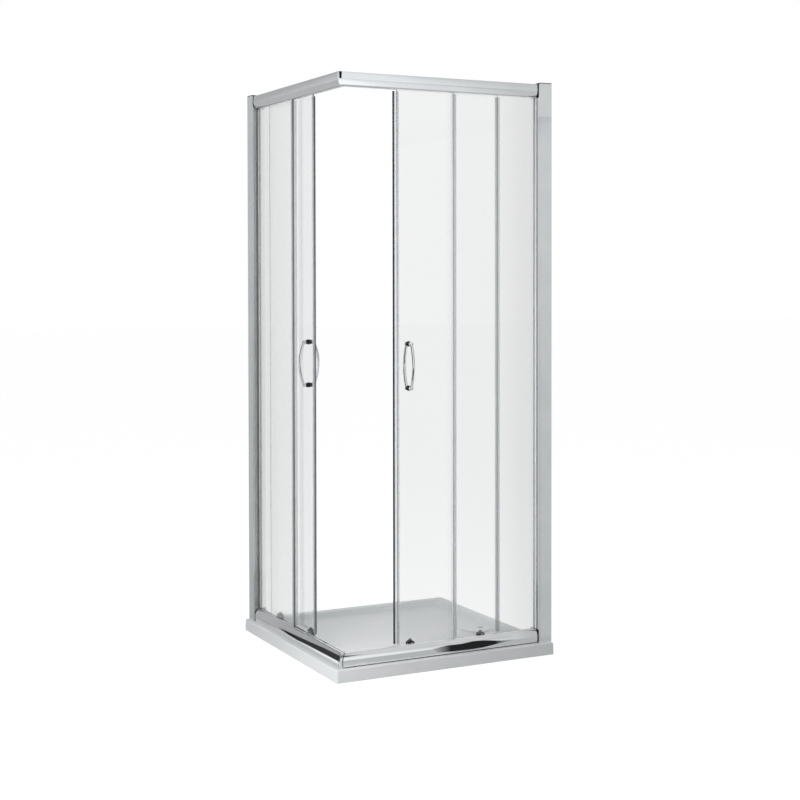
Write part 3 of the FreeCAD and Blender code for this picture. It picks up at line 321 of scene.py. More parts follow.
# %% [markdown]
# Photographers hold black and white cards close to bright metal, so that it gets dark and light lines to show its
# shape. A black card and a grey one stand along each bottom rail, and a small dark one by the corner. A long pale one
# lies in front of the right top rail, and a dark one just below the right handle. Only mirror rays meet the cards, so
# they cast no shadow. The outlines of the standing cards are distances along the side and heights.

# %% Cards
CARD_DEPTH = 8 * MM
RIGHT_CARD_MM = (
    (-46, 65), (9, 76), (65, 74.6), (112, 83), (144, 80), (192, 67), (229, 60), (268, 58), (268, 56), (229, 54),
    (192, 49), (148, 42), (108, 40.5), (58, 40.5), (18, 42), (-26, 46), (-46, 63),
)
LEFT_CARD_MM = (
    (150, 60), (-7, 69), (-132, 78), (-211, 87), (-304, 93), (-372, 96), (-372, 58), (-318, 55), (-230, 52.5),
    (-137, 51), (-70, 49.5), (-13, 47), (67, 49), (150, 55),
)
LEFT_GREY_MM = (
    (400, 62), (150, 60), (-7, 69), (-132, 78), (-211, 87), (-304, 93), (-372, 96), (-372, 200), (400, 200),
)
RIGHT_GREY_MM = ((262, 58), (420, 58), (420, 150), (262, 150))
STREAK_MM = ((-378, 86), (-290, 90), (-290, 93), (-378, 112))
PALE_CARD_MM = ((-420, -392), (460, -392), (460, -2400), (-420, -2400))
HANDLE_CARD_MM = ((-520, -430), (-150, -430), (100, -930), (100, -1100), (-520, -1100))
PALE_CARD_UP = 1800 * MM
HANDLE_CARD_UP = 885 * MM


def card(name, corners, run, tones_mm, through=False):
    """A card that only mirrors see, also those behind glass if through is set. Its tone changes along X or Y."""
    sheet = stage_sheet(name, corners)
    for ray in ("camera", "diffuse", "volume_scatter", "shadow"):
        setattr(sheet, f"visible_{ray}", False)
    sheet.visible_transmission = through
    paint = bare_material(name)
    tree = paint.node_tree
    place = new_node(tree, "ShaderNodeTexCoord").outputs["Object"]
    along = new_node(tree, "ShaderNodeSeparateXYZ", {0: place}).outputs[run]
    stops = [(mark * MM / (2 * HALF) + 0.5, tone) for mark, tone in tones_mm]
    shine = new_node(tree, "ShaderNodeEmission", {"Color": ramp_of(tree, ranged(tree, along, -HALF, HALF), stops)})
    clear = new_node(tree, "ShaderNodeBsdfTransparent")
    mirrors_met = new_node(tree, "ShaderNodeLightPath").outputs["Glossy Depth"]
    shown = switched(tree, mirrors_met, clear.outputs[0], shine.outputs[0])
    new_node(tree, "ShaderNodeOutputMaterial", {"Surface": shown})
    sheet.data.materials.append(paint)


stand = -HALF + CARD_DEPTH
card("right_card", [(u * MM, stand, z * MM) for u, z in RIGHT_CARD_MM], 0,
     ((-46, 0.5), (20, 0.02), (190, 0.02), (262, 0.5)))
card("left_card", [(stand, u * MM, z * MM) for u, z in LEFT_CARD_MM], 1,
     ((-370, 0.05), (-13, 0.04), (50, 0.018), (110, 0.018), (150, 0.2)))
card("left_grey_card", [(stand, u * MM, z * MM) for u, z in LEFT_GREY_MM], 1,
     ((-300, 0.42), (100, 0.43), (300, 0.48)))
card("right_grey_card", [(u * MM, stand, z * MM) for u, z in RIGHT_GREY_MM], 0, ((264, 0.70), (335, 0.56)))
card("streak_card", [(u * MM, stand, z * MM) for u, z in STREAK_MM], 0, ((-370, 0.06), (-300, 0.3)))
card("pale_card", [(x * MM, y * MM, PALE_CARD_UP) for x, y in PALE_CARD_MM], 0,
     ((-330, 1.2), (-260, 1.12), (-190, 1.0), (-130, 0.92), (0, 0.845), (130, 0.80), (200, 0.74), (280, 0.67),
      (360, 0.60)))
card("handle_card", [(x * MM, y * MM, HANDLE_CARD_UP) for x, y in HANDLE_CARD_MM], 0, ((-60, 0.06), (60, 0.06)),
     through=True)

# %% [markdown]
# ## Finishes
# Every finish is a Principled shader whose colour, gloss or relief varies a little over the surface, as a real
# one does. The pattern is laid on Object coordinates, which here are metres in the object's own frame, so a
# scale of 200 means features of about five millimetres.

# %% Helpers for finishes
CLOUD_ROUGHNESS = 0.55
CLOUD_LOW, CLOUD_HIGH = 0.3, 0.7


class Finish:
    """A material with a Principled shader and the nodes that vary it."""

    def __init__(self, name, **sockets):
        self.material = bare_material(name)
        self.tree = self.material.node_tree
        self.shader = self.add("ShaderNodeBsdfPrincipled", {
            socket.replace("_", " "): value for socket, value in sockets.items()})
        self.output = self.add("ShaderNodeOutputMaterial", {"Surface": self.shader.outputs[0]})
        self.place = self.add("ShaderNodeTexCoord").outputs["Object"]

    def add(self, kind, inputs=None):
        return new_node(self.tree, kind, inputs)

    def link(self, source, target):
        self.tree.links.new(source, target)

    def noise(self, scale, detail=3):
        """Cloudy variation. The scale may differ along X, Y and Z, to draw the clouds out into lines."""
        scales = scale if isinstance(scale, tuple) else (scale,) * 3
        mapped = self.add("ShaderNodeMapping", {"Vector": self.place, "Scale": scales}).outputs["Vector"]
        return self.add("ShaderNodeTexNoise", {
            "Vector": mapped, "Scale": 1, "Detail": detail, "Roughness": CLOUD_ROUGHNESS}).outputs["Fac"]

    def between(self, cloud, low, high):
        """Cloudy variation brought between two limits."""
        return self.add("ShaderNodeMapRange", {
            "Value": cloud, "From Min": CLOUD_LOW, "From Max": CLOUD_HIGH, "To Min": low, "To Max": high,
        }).outputs["Result"]

    def shade(self, value, dark, light):
        """A colour between two, by a varying value."""
        ramp = self.add("ShaderNodeValToRGB", {"Fac": value})
        for element, colour in zip(ramp.color_ramp.elements, (dark, light)):
            element.color = (*colour, 1)
        return ramp.outputs["Color"]

    def colour(self, source):
        self.link(source, self.shader.inputs["Base Color"])

    def roughness(self, source):
        self.link(source, self.shader.inputs["Roughness"])

    def clouded(self, scale, dark, light, tone=1.0):
        """Colour that drifts between two in clouds, with both darkened to a tone."""
        drift = self.between(self.noise(scale), 0, 1)
        self.colour(self.shade(drift, [share * tone for share in dark], [share * tone for share in light]))

    def uneven(self, scale, low, high):
        """Roughness that drifts between two limits."""
        self.roughness(self.between(self.noise(scale), low, high))

    def relief(self, height, depth_mm, strength):
        """Fine bumps of a real depth."""
        bump = self.add("ShaderNodeBump", {"Strength": strength, "Distance": depth_mm * MM, "Height": height})
        self.link(bump.outputs["Normal"], self.shader.inputs["Normal"])


finishes = {}
print("finish helpers ready")

# %% [markdown]
# ### The tray's acrylic
# A tray is cast from stone resin under a white acrylic skin. The skin is smooth but not a mirror: its gloss and
# its white drift a little from place to place. The waste's flush cover and ring are the same white.

# %% Tray finish
acrylic = Finish("tray_acrylic", IOR=1.49, Specular_IOR_Level=0.25, Coat_Weight=0.08, Coat_Roughness=0.12)
acrylic.clouded(5.0, (0.76, 0.775, 0.78), (0.80, 0.81, 0.81))
acrylic.uneven(5.0, 0.28, 0.34)
finishes["tray_white"] = acrylic.material
print("made", acrylic.material.name)

# %% [markdown]
# ### Polished aluminium
# The rails and uprights are extruded, so faint lines run along their length. They are polished and anodised after
# that, which leaves a bright, slightly veiled mirror. The lines are noise that is drawn out several hundred times
# along the run of the bar, so the same recipe is made once for each direction. The uprights are more satin than the
# rails, and the corner castings are brightest. The posts' flanks beside the glass get darker copies, as painted
# shade.

# %% Aluminium finishes
SCALE_ALONG, SCALE_ACROSS = 1.2, 900.0


def aluminium(name, run, rough=(0.05, 0.11), tone=1.0):
    """Bright extruded metal whose lines run along X, Y or Z."""
    metal = Finish(name, Metallic=1.0)
    drawn = metal.noise(tuple(SCALE_ALONG if axis == run else SCALE_ACROSS for axis in range(3)), detail=4)
    metal.clouded(9.0, (0.80, 0.815, 0.825), (0.86, 0.87, 0.875), tone)
    metal.roughness(metal.between(drawn, *rough))
    metal.relief(drawn, 0.003, 0.2)
    return metal.material


rail_finish = {"right": aluminium("aluminium_along_x", 0), "left": aluminium("aluminium_along_y", 1)}
upright_finish = aluminium("aluminium_upright", 2, (0.18, 0.27))
finishes["polished_aluminium"] = upright_finish
# Darker copies of the upright finish for the posts' flanks, in steps: painted shade.
shaded_flank_finish = {name: aluminium(f"aluminium_{name}_flank", 2, (0.20, 0.24), tone)
                for name, tone in (("pale", 0.70), ("grey", 0.48), ("dark", 0.29))}
finishes["corner_metal"] = aluminium("aluminium_corner", 2, (0.26, 0.36), tone=1.1)
print("made aluminium for", sorted(rail_finish))

# %% [markdown]
# ### Chrome and steel
# The handles and nuts are plated and mirror bright, with faint smears. The short posts that carry a handle are
# painted dark chrome, as painted shade and dark reflection. Screws, studs and springs are plain steel.

# %% Chrome and steel finishes
chrome = Finish("bright_chrome", Metallic=1.0)
chrome.clouded(30.0, (0.82, 0.83, 0.84), (0.9, 0.9, 0.91))
chrome.uneven(60.0, 0.03, 0.09)
finishes["chrome"] = chrome.material

# Dark chrome for the handle posts: painted shade and dark reflection.
painted_dark_chrome = Finish("shaded_chrome", Metallic=1.0)
painted_dark_chrome.clouded(90.0, (0.05, 0.052, 0.055), (0.09, 0.092, 0.095))
painted_dark_chrome.uneven(60.0, 0.10, 0.18)
finishes["shaded_chrome"] = painted_dark_chrome.material

steel = Finish("plain_steel", Metallic=1.0)
steel.clouded(150.0, (0.5, 0.51, 0.52), (0.64, 0.64, 0.65))
steel.uneven(300.0, 0.22, 0.38)
steel.relief(steel.noise(1800.0, detail=2), 0.01, 0.3)
finishes["stainless"] = steel.material
print("made", chrome.material.name, painted_dark_chrome.material.name, steel.material.name)

# %% [markdown]
# ### Glass
# The panes are clear toughened glass, faintly grey and green, with little glare. A glass shader stops the straight
# rays from lamps, which would leave the tray dark, so those rays meet a Transparent shader instead. The panes' tones
# are painted shade of reflections: the fixed panes are greyer towards the wall, and the left door a little darker
# than the right. The upright edges of a pane are ground: the left fixed pane's is painted dark, as the shade of the
# pane's whole width seen end on, and the others are painted light, as the light they catch.

# %% Glass finishes
GLASS_TINT = (0.995, 1.003, 1.0)
LAMP_LIGHT_THROUGH = (0.9, 0.92, 0.91, 1)


def glass(name, tones, run=None):
    """Clear glass whose tone, painted shade of reflections, changes along X or Y as (place, tone) stops, or drifts
    between two in faint clouds.
    """
    pane = Finish(name, Roughness=0.0, IOR=1.5, Transmission_Weight=1.0, Specular_IOR_Level=0.2)
    if run is None:
        value = pane.between(pane.noise(2.0), 0, 1)
        stops = list(enumerate(tones))
    else:
        along = pane.add("ShaderNodeSeparateXYZ", {0: pane.place}).outputs[run]
        value = ranged(pane.tree, along, 0, HALF)
        stops = [(place / HALF, tone) for place, tone in tones]
    pane.colour(ramp_of(pane.tree, value, stops, GLASS_TINT))
    lamp_ray = pane.add("ShaderNodeLightPath").outputs["Is Shadow Ray"]
    clear = pane.add("ShaderNodeBsdfTransparent", {"Color": LAMP_LIGHT_THROUGH})
    pane.link(switched(pane.tree, lamp_ray, pane.shader.outputs[0], clear.outputs[0]), pane.output.inputs["Surface"])
    return pane.material


# The panes' tones are painted shade: the fixed panes greyer towards the wall, the left door a little darker than the
# right.
pane_finish = {
    "right_door_glass": glass("right_door_glass", (0.880, 0.887)),
    "left_door_glass": glass("left_door_glass", (0.866, 0.872)),
    "right_fixed_glass": glass(
        "right_fixed_glass", ((0.06, 0.975), (0.20, 0.972), (0.218, 0.82), (0.29, 0.76), (0.36, 0.735)), 0),
    "left_fixed_glass": glass(
        "left_fixed_glass", ((0.06, 0.955), (0.15, 0.94), (0.243, 0.925), (0.257, 0.815), (0.36, 0.785)), 1),
}
finishes["clear_glass"] = pane_finish["right_door_glass"]

# Ground edges: the left fixed pane's painted dark as shade, the others painted light.
edge_finish = {}
for name, dark, light in (("dark", (0.010, 0.014, 0.016), (0.018, 0.024, 0.027)),
                          ("light", (0.36, 0.40, 0.42), (0.44, 0.48, 0.5))):
    edge = Finish(f"{name}_glass_edge", IOR=1.5)
    edge.clouded(80.0, dark, light)
    edge.uneven(500.0, 0.35, 0.55)
    edge_finish[name] = edge.material
print("made glass for", sorted(pane_finish))

# %% [markdown]
# ### Plastics and rubber
# The seal strips are clear soft plastic, slightly milky and cool. The gaskets are matt rubber, grey in the posts and
# black in the rails. The end caps, roller housings and buttons are moulded with a fine grain, and the wheels nylon.

# %% Plastic and rubber finishes


def clear_plastic(name, alpha, tone=1.0):
    """Milky soft plastic that lets part of the light straight through."""
    strip = Finish(name, IOR=1.5, Alpha=alpha)
    strip.clouded(14.0, (0.64, 0.67, 0.72), (0.72, 0.745, 0.79), tone)
    strip.uneven(40.0, 0.16, 0.28)
    return strip.material


finishes["clear_seal"] = clear_plastic("clear_strip", 0.22)
# Each seal has its own copy, more or less see-through, and the left fixed one darker: painted light and shade, seal
# by seal.
seal_finish = {
    "left_trailing_seal": clear_plastic("faint_strip", 0.02),
    "right_trailing_seal": clear_plastic("right_trailing_strip", 0.29),
    "left_fixed_seal": clear_plastic("left_fixed_strip", 0.36, 0.7),
}
for side in SIDES:
    seal_finish[f"{side}_magnetic_seal"] = clear_plastic(f"{side}_leading_strip", 0.2)


def moulded(name, dark, light, rough, gloss=0.4):
    """A moulded or rubber surface with a fine grain."""
    skin = Finish(name, Specular_IOR_Level=gloss)
    skin.clouded(60.0, dark, light)
    skin.uneven(120.0, *rough)
    skin.relief(skin.noise(900.0, detail=2), 0.03, 0.5)
    return skin.material


finishes["black_rubber"] = moulded("black_rubber", (0.012,) * 3, (0.022,) * 3, (0.55, 0.75))
finishes["magnet_rubber"] = moulded("magnet_rubber", (0.016,) * 3, (0.026,) * 3, (0.5, 0.7))
finishes["magnet_core"] = moulded("magnet_core", (0.42, 0.45, 0.50), (0.50, 0.53, 0.58), (0.4, 0.6))
finishes["grey_rubber"] = moulded("grey_rubber", (0.82, 0.84, 0.85), (0.87, 0.89, 0.90), (0.5, 0.7))
finishes["black_plastic"] = moulded("black_plastic", (0.010,) * 3, (0.018,) * 3, (0.45, 0.6), gloss=0.1)
finishes["grey_plastic"] = moulded("grey_plastic", (0.05,) * 3, (0.07,) * 3, (0.3, 0.45))
finishes["wheel_nylon"] = moulded("wheel_nylon", (0.62, 0.61, 0.58), (0.7, 0.69, 0.66), (0.35, 0.5))
print("finishes:", len(finishes))

# %% [markdown]
# ## Dressing the solids
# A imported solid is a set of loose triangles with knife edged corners. Real extrusions and mouldings have a small
# radius on every edge, which catches a thin line of light, and their curves are smooth. So each visible solid gets
# a dressed copy: its triangles are merged, flat faces are joined up again, sharp edges are bevelled, and normals
# are weighted so that the flats stay flat and the curves stay smooth. The copy stands for the solid.

# %% Helpers for dressed copies
SMOOTH_ANGLE = math.radians(38)
FLAT_ANGLE = math.radians(0.4)
MERGE_DISTANCE = 2e-6
SKIN_DEEP = 34 * MM
WHITE_WASTE = ("waste_cover", "waste_flange")
OTHER_FINISH = {"magnet_strip": "magnet_core", "post_gasket": "grey_rubber"}
own_finish = pane_finish | seal_finish


def add_piece(name, mesh, body, slot, *materials):
    """Link a finished mesh that rides on a body and takes the finishes given. The slot is not used."""
    piece = bpy.data.objects.new(name, mesh)
    scene.collection.objects.link(piece)
    shares = [polygon.material_index for polygon in mesh.polygons]
    mesh.materials.clear()
    for material in materials:
        mesh.materials.append(material)
    mesh.polygons.foreach_set("material_index", shares)
    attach(piece, body)
    return piece


def slot_for(node):
    return "tray_white" if node in WHITE_WASTE else node_slots[node]


def material_for(node):
    """The finish of a CAD node: by its own name, by the run of its bar, or by its slot."""
    if node in own_finish:
        return own_finish[node]
    if node.endswith("_rail"):
        return rail_finish[node.split("_")[0]]
    return finishes[OTHER_FINISH.get(node.split("_", 1)[1], slot_for(node))]


def cad_mesh(node):
    return frame["nodes"][node].data


def welded(mesh):
    """A working copy of a mesh whose loose triangles are joined."""
    bm = bmesh.new()
    bm.from_mesh(mesh)
    bmesh.ops.remove_doubles(bm, verts=bm.verts, dist=MERGE_DISTANCE)
    return bm


def merged(mesh):
    """A working copy with its flats made whole too, but not across two finishes."""
    bm = welded(mesh)
    bmesh.ops.dissolve_limit(bm, angle_limit=FLAT_ANGLE, verts=bm.verts, edges=bm.edges, delimit={"MATERIAL"})
    return bm


def on_outer_skin(edge):
    """True for an edge on the outside of the rails and corner pieces."""
    middle = (edge.verts[0].co + edge.verts[1].co) / 2
    return min(middle.x, middle.y) < -HALF + SKIN_DEEP


def bevel_sharp(bm, bevel_mm, segments, where=None):
    """Round the sharp edges, or those of them in a place."""
    sharp = [e for e in bm.edges if len(e.link_faces) == 2 and e.calc_face_angle(0) > SMOOTH_ANGLE]
    bmesh.ops.bevel(bm, geom=[e for e in sharp if where is None or where(e)], offset=bevel_mm * MM,
                    segments=segments, profile=0.5, affect="EDGES", clamp_overlap=True)


def smoothed(bm, name):
    """Turn the working mesh into a smooth shaded mesh with its sharp edges marked."""
    bmesh.ops.triangulate(bm, faces=bm.faces)
    for face in bm.faces:
        face.smooth = True
    mesh = bpy.data.meshes.new(name)
    bm.to_mesh(mesh)
    bm.free()
    mesh.set_sharp_from_angle(angle=SMOOTH_ANGLE)
    return mesh


def stand_in(node, mesh, *more_materials):
    """Put a dressed mesh in place of a node."""
    piece = add_piece(f"{node}_dressed", mesh, node_body[node], slot_for(node), material_for(node), *more_materials)
    piece.modifiers.new("weighted", "WEIGHTED_NORMAL").keep_sharp = True
    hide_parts(node)


for node, solid in frame["nodes"].items():
    solid.data.materials.clear()
    solid.data.materials.append(material_for(node))
print("finishes on", len(frame["nodes"]), "solids")

# %% [markdown]
# Most pieces only need a bevel of the right size: about half a millimetre on extrusions, a little more on mouldings
# and none on thin soft strips. The rails and corner castings are bevelled on their outer skin alone, because the
# track inside them is too fine for it.

# %% Bevelled pieces
BEVELS_MM = {
    "shower_tray": 0.6, "waste_flange": 0.3, "channel_caps": 0.3, "door_stops": 1.0, "wall_channel": 0.35,
    "post_gasket": 0.0, "rail_gaskets": 0.0, "fixed_seal": 0.0, "trailing_seal": 0.0, "magnet_strip": 0.0,
    "roller_housings": 0.9, "handle_collars": 0.3, "hanger_studs": 0.2, "hanger_caps": 0.2, "front_release": 0.3,
    "rear_release": 0.3, "top_front_wheel": 0.15, "top_rear_wheel": 0.15, "bottom_front_wheel": 0.15,
    "bottom_rear_wheel": 0.15,
}
SKIN_BEVELS_MM = {"top_rail": 0.5, "left_bottom_rail": 0.5, "top_corner_piece": 0.8}


def of_kind(kind):
    """The nodes of a kind: one for the whole object, or one for each side."""
    return [node for node in (kind, f"right_{kind}", f"left_{kind}") if node in frame["nodes"]]


for kind, bevel_mm in (BEVELS_MM | SKIN_BEVELS_MM).items():
    for node in of_kind(kind):
        bm = merged(cad_mesh(node))
        if bevel_mm:
            bevel_sharp(bm, bevel_mm, 2, on_outer_skin if kind in SKIN_BEVELS_MM else None)
        stand_in(node, smoothed(bm, f"{node}_dressed"))

# %% [markdown]
# Some pieces show two finishes or more. The mesh is cut where they meet, and each face then takes its finish from
# where it is or how it points. The bottom corner casting has dark joint lines beside the rails, and the right bottom
# rail is black along a thin strip at its foot. The end caps are black in front and bare further in. The posts' flanks
# are painted darker than their faces in steps, as painted shade, with pale rubber beside the glass as painted light.

# %% Joints, feet and flanks
CORNER_BEVEL_MM, CAP_BEVEL_MM, RAIL_BEVEL_MM, POST_BEVEL_MM = 0.8, 0.3, 0.5, 0.35
FACING = 0.9
JOINT_FROM = 8.5 * MM
FOOT_UP = 42.5 * MM
CAP_DEEP = 40 * MM
FLANK_STEPS = (29.5 * MM, 40 * MM)
SHADED_FLANKS = {
    "right": (shaded_flank_finish["grey"], finishes["grey_rubber"], finishes["grey_rubber"]),
    "left": (shaded_flank_finish["pale"], shaded_flank_finish["dark"], finishes["grey_rubber"]),
}
DIAGONAL = Vector((1, -1, 0)).normalized()


def cut_at(bm, place, normal):
    """Split the faces that cross a plane."""
    bmesh.ops.bisect_plane(bm, geom=bm.verts[:] + bm.edges[:] + bm.faces[:], plane_co=place, plane_no=normal)


def with_finishes(node, bm, pick, *others):
    """Give each face the node's own finish or one of the others, by number, and put the mesh in the node's place."""
    bm.normal_update()
    for face in bm.faces:
        face.material_index = int(pick(face.calc_center_median(), face.normal))
    stand_in(node, smoothed(bm, f"{node}_dressed"), *others)


def depth(place):
    """How far in from the tray's outer edge."""
    return min(place.x, place.y) + HALF


def axis_way(axis):
    return Vector([float(axis == other) for other in range(3)])


bm = merged(cad_mesh("bottom_corner_piece"))
bevel_sharp(bm, CORNER_BEVEL_MM, 2, on_outer_skin)
for way in (1, -1):
    cut_at(bm, Vector((way * JOINT_FROM, 0, 0)), DIAGONAL)
with_finishes("bottom_corner_piece", bm, lambda place, normal: (
    abs(place.x - place.y) > JOINT_FROM and depth(place) < SKIN_DEEP), finishes["black_rubber"])

bm = merged(cad_mesh("rail_end_caps"))
bevel_sharp(bm, CAP_BEVEL_MM, 2)
for axis in (0, 1):
    cut_at(bm, axis_way(axis) * (CAP_DEEP - HALF), axis_way(axis))
with_finishes("rail_end_caps", bm, lambda place, normal: depth(place) > CAP_DEEP, upright_finish)

bm = merged(cad_mesh("right_bottom_rail"))
bevel_sharp(bm, RAIL_BEVEL_MM, 2, on_outer_skin)
cut_at(bm, axis_way(2) * FOOT_UP, axis_way(2))
with_finishes("right_bottom_rail", bm, lambda place, normal: place.z < FOOT_UP and depth(place) < SKIN_DEEP,
              finishes["black_rubber"])

# The flanks take darker aluminium in steps, as painted shade, and pale rubber beside the glass, as painted light.
for run, side in enumerate(SIDES):
    bm = merged(cad_mesh(f"{side}_post"))
    bevel_sharp(bm, POST_BEVEL_MM, 2)
    cut_at(bm, axis_way(1 - run) * (FLANK_STEPS[0] - HALF), axis_way(1 - run))
    with_finishes(f"{side}_post", bm, lambda place, normal: (normal[run] < -FACING) * (
        1 + sum(depth(place) > step for step in FLANK_STEPS)), *SHADED_FLANKS[side])

# %% [markdown]
# Each door's leading strip ends in a dark magnetic lip, and the rest of it is clear. The handles are bright, and the
# short posts that carry them are painted dark, as painted shade and dark reflection.

# %% Magnetic lips and handle posts
LIP_LONG = {"right": 5.5 * MM, "left": 2.5 * MM}
POST_LONG = 11 * MM
POST_HIGH = 17 * MM

for run, side in enumerate(SIDES):
    node = f"{side}_magnetic_seal"
    lip_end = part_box(node)[0][run] + LIP_LONG[side]
    bm = merged(cad_mesh(node))
    cut_at(bm, axis_way(run) * lip_end, axis_way(run))
    with_finishes(node, bm, lambda place, normal: place[run] < lip_end, finishes["magnet_rubber"])

    deep = 1 - run
    glass_low, glass_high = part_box(f"{side}_door_glass")
    # The handle posts take the dark chrome: painted shade and dark reflection.
    for handle, start, way in (("outer", glass_low[deep], -1), ("inner", glass_high[deep], 1)):
        node = f"{side}_{handle}_handle"
        low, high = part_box(node)
        bm = merged(cad_mesh(node))
        cut_at(bm, axis_way(deep) * (start + way * POST_LONG), axis_way(deep))
        with_finishes(node, bm, lambda place, normal: (
            min(place.z - low[2], high[2] - place.z) < POST_HIGH and (place[deep] - start) * way < POST_LONG),
            finishes["shaded_chrome"])
print("lips in mm:", [round(LIP_LONG[side] / MM, 1) for side in SIDES], "handle posts:", round(POST_LONG / MM, 1))

# %% [markdown]
# A pane has two finishes: clear faces and ground upright edges. The mesh tells them apart by the way a face points.

# %% Panes
PANE_BEVEL_MM = 0.5
EDGE_DEEP = PANE_BEVEL_MM * MM / 4

for kind in ("fixed_glass", "door_glass"):
    for run, side in enumerate(SIDES):
        node = f"{side}_{kind}"
        low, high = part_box(node)
        bm = merged(cad_mesh(node))
        bevel_sharp(bm, PANE_BEVEL_MM, 1)
        with_finishes(node, bm, lambda place, normal: (
            min(place[run] - low[run], high[run] - place[run]) < EDGE_DEEP and abs(normal[run]) > FACING),
            edge_finish["dark" if node == "left_fixed_glass" else "light"])
print("panes:", [o.name for o in scene.objects if "glass_dressed" in o.name])

# %% [markdown]
# The waste's cover has a finger slot, by which it is lifted out for cleaning. A Boolean cuts it and takes over
# the cutter's black finish on the cut faces, as painted shade in the slot. The result's flats are made whole again,
# so that no sliver spoils the shading beside the slot, and it is kept as a plain mesh.

# %% Waste cover
SLOT_PLACE = Vector((309, -57, 28)) * MM
SLOT_HALF = Vector((11, 5, 6)) * MM
SLOT_CORNER = 3.2 * MM

cover = bpy.data.objects.new("cover_blank", smoothed(merged(cad_mesh("waste_cover")), "cover_blank"))
cover.data.materials.append(finishes["tray_white"])
cutter_bm = bmesh.new()
bmesh.ops.create_cube(cutter_bm, size=2, matrix=Matrix.Translation(SLOT_PLACE) @ Matrix.Diagonal(SLOT_HALF).to_4x4())
bmesh.ops.bevel(cutter_bm, geom=[e for e in cutter_bm.edges if abs(e.verts[0].co.z - e.verts[1].co.z) > MM],
                offset=SLOT_CORNER, segments=5, profile=0.5, affect="EDGES")
cutter_mesh = bpy.data.meshes.new("cover_slot")
cutter_bm.to_mesh(cutter_mesh)
cutter_bm.free()
# The slot's walls are black: painted shade in the slot.
cutter_mesh.materials.append(finishes["black_rubber"])
cutter = bpy.data.objects.new("cover_slot", cutter_mesh)
for blank in (cover, cutter):
    scene.collection.objects.link(blank)
cut = cover.modifiers.new("slot", "BOOLEAN")
cut.object = cutter
cut.solver = "EXACT"
cut.material_mode = "TRANSFER"
cut_mesh = bpy.data.meshes.new_from_object(cover.evaluated_get(bpy.context.evaluated_depsgraph_get()))
bpy.data.objects.remove(cover)
bpy.data.objects.remove(cutter)
slotted = smoothed(merged(cut_mesh), "waste_cover_dressed")
stand_in("waste_cover", slotted, finishes["black_rubber"])
print("waste cover faces:", len(slotted.polygons), "in the slot:", sum(p.material_index for p in slotted.polygons))

# %% [markdown]
# ## Springs and screws
# What repeats is made with Geometry Nodes: one tree for the coil springs under the release buttons, and one for
# pan head screws with a cross recess. A tree has named inputs for its sizes, which are measured on the solids, and
# it runs on a mesh of points. The result is kept as a plain mesh.

# %% Helpers for node trees


def islands(node):
    """The separate solids of a node, as lists of points."""
    bm = welded(cad_mesh(node))
    reached, groups = set(), []
    for first in bm.verts:
        if first in reached:
            continue
        reached.add(first)
        waiting, points = [first], []
        while waiting:
            vert = waiting.pop()
            points.append(vert.co.copy())
            for link in vert.link_edges:
                other = link.other_vert(vert)
                if other not in reached:
                    reached.add(other)
                    waiting.append(other)
        groups.append(points)
    bm.free()
    return groups


def box_of(points):
    """The low and high corners of a box round points."""
    return tuple(Vector([end(point[axis] for point in points) for axis in range(3)]) for end in (min, max))


class Shaper:
    """A Geometry Nodes tree with named inputs that ends in realised, finished geometry."""

    def __init__(self, name, **sizes):
        self.tree = bpy.data.node_groups.new(name, "GeometryNodeTree")
        self.tree.interface.new_socket("Points", in_out="INPUT", socket_type="NodeSocketGeometry")
        self.keys = {}
        for size, value in sizes.items():
            socket = self.tree.interface.new_socket(size, in_out="INPUT", socket_type="NodeSocketFloat")
            socket.default_value = value
            self.keys[size] = socket.identifier
        finish = self.tree.interface.new_socket("Finish", in_out="INPUT", socket_type="NodeSocketMaterial")
        self.keys["Finish"] = finish.identifier
        self.tree.interface.new_socket("Mesh", in_out="OUTPUT", socket_type="NodeSocketGeometry")
        self.given = new_node(self.tree, "NodeGroupInput")

    def add(self, kind, inputs=None, **settings):
        return new_node(self.tree, kind, inputs, **settings)

    def maths(self, operation, first, second):
        return maths(self.tree, operation, first, second)

    def close(self, geometry):
        """Realise what was placed, shade it smooth and give it its finish."""
        real = self.add("GeometryNodeRealizeInstances", {"Geometry": geometry}).outputs[0]
        smooth = self.add("GeometryNodeSetShadeSmooth", {"Geometry": real}).outputs[0]
        done = self.add("GeometryNodeSetMaterial", {"Geometry": smooth, "Material": self.given.outputs["Finish"]})
        self.add("NodeGroupOutput", {"Mesh": done.outputs[0]})

    def run(self, name, points, finish, **sizes):
        """The tree's result on a mesh of points, as a plain mesh."""
        holder = bpy.data.objects.new(name, points)
        scene.collection.objects.link(holder)
        modifier = holder.modifiers.new("shape", "NODES")
        modifier.node_group = self.tree
        for size, value in (sizes | {"Finish": finish}).items():
            modifier[self.keys[size]] = value
        mesh = bpy.data.meshes.new_from_object(holder.evaluated_get(bpy.context.evaluated_depsgraph_get()))
        holder.modifiers.remove(modifier)
        bpy.data.objects.remove(holder)
        mesh.name = name
        for polygon in mesh.polygons:
            polygon.material_index = 0
        mesh.set_sharp_from_angle(angle=SMOOTH_ANGLE)
        return mesh


def points_mesh(name, places, directions):
    """A mesh of points that each face a way."""
    mesh = bpy.data.meshes.new(name)
    mesh.from_pydata([tuple(place) for place in places], [], [])
    facing = mesh.attributes.new("facing", "FLOAT_VECTOR", "POINT")
    for value, way in zip(facing.data, directions):
        value.vector = way
    return mesh


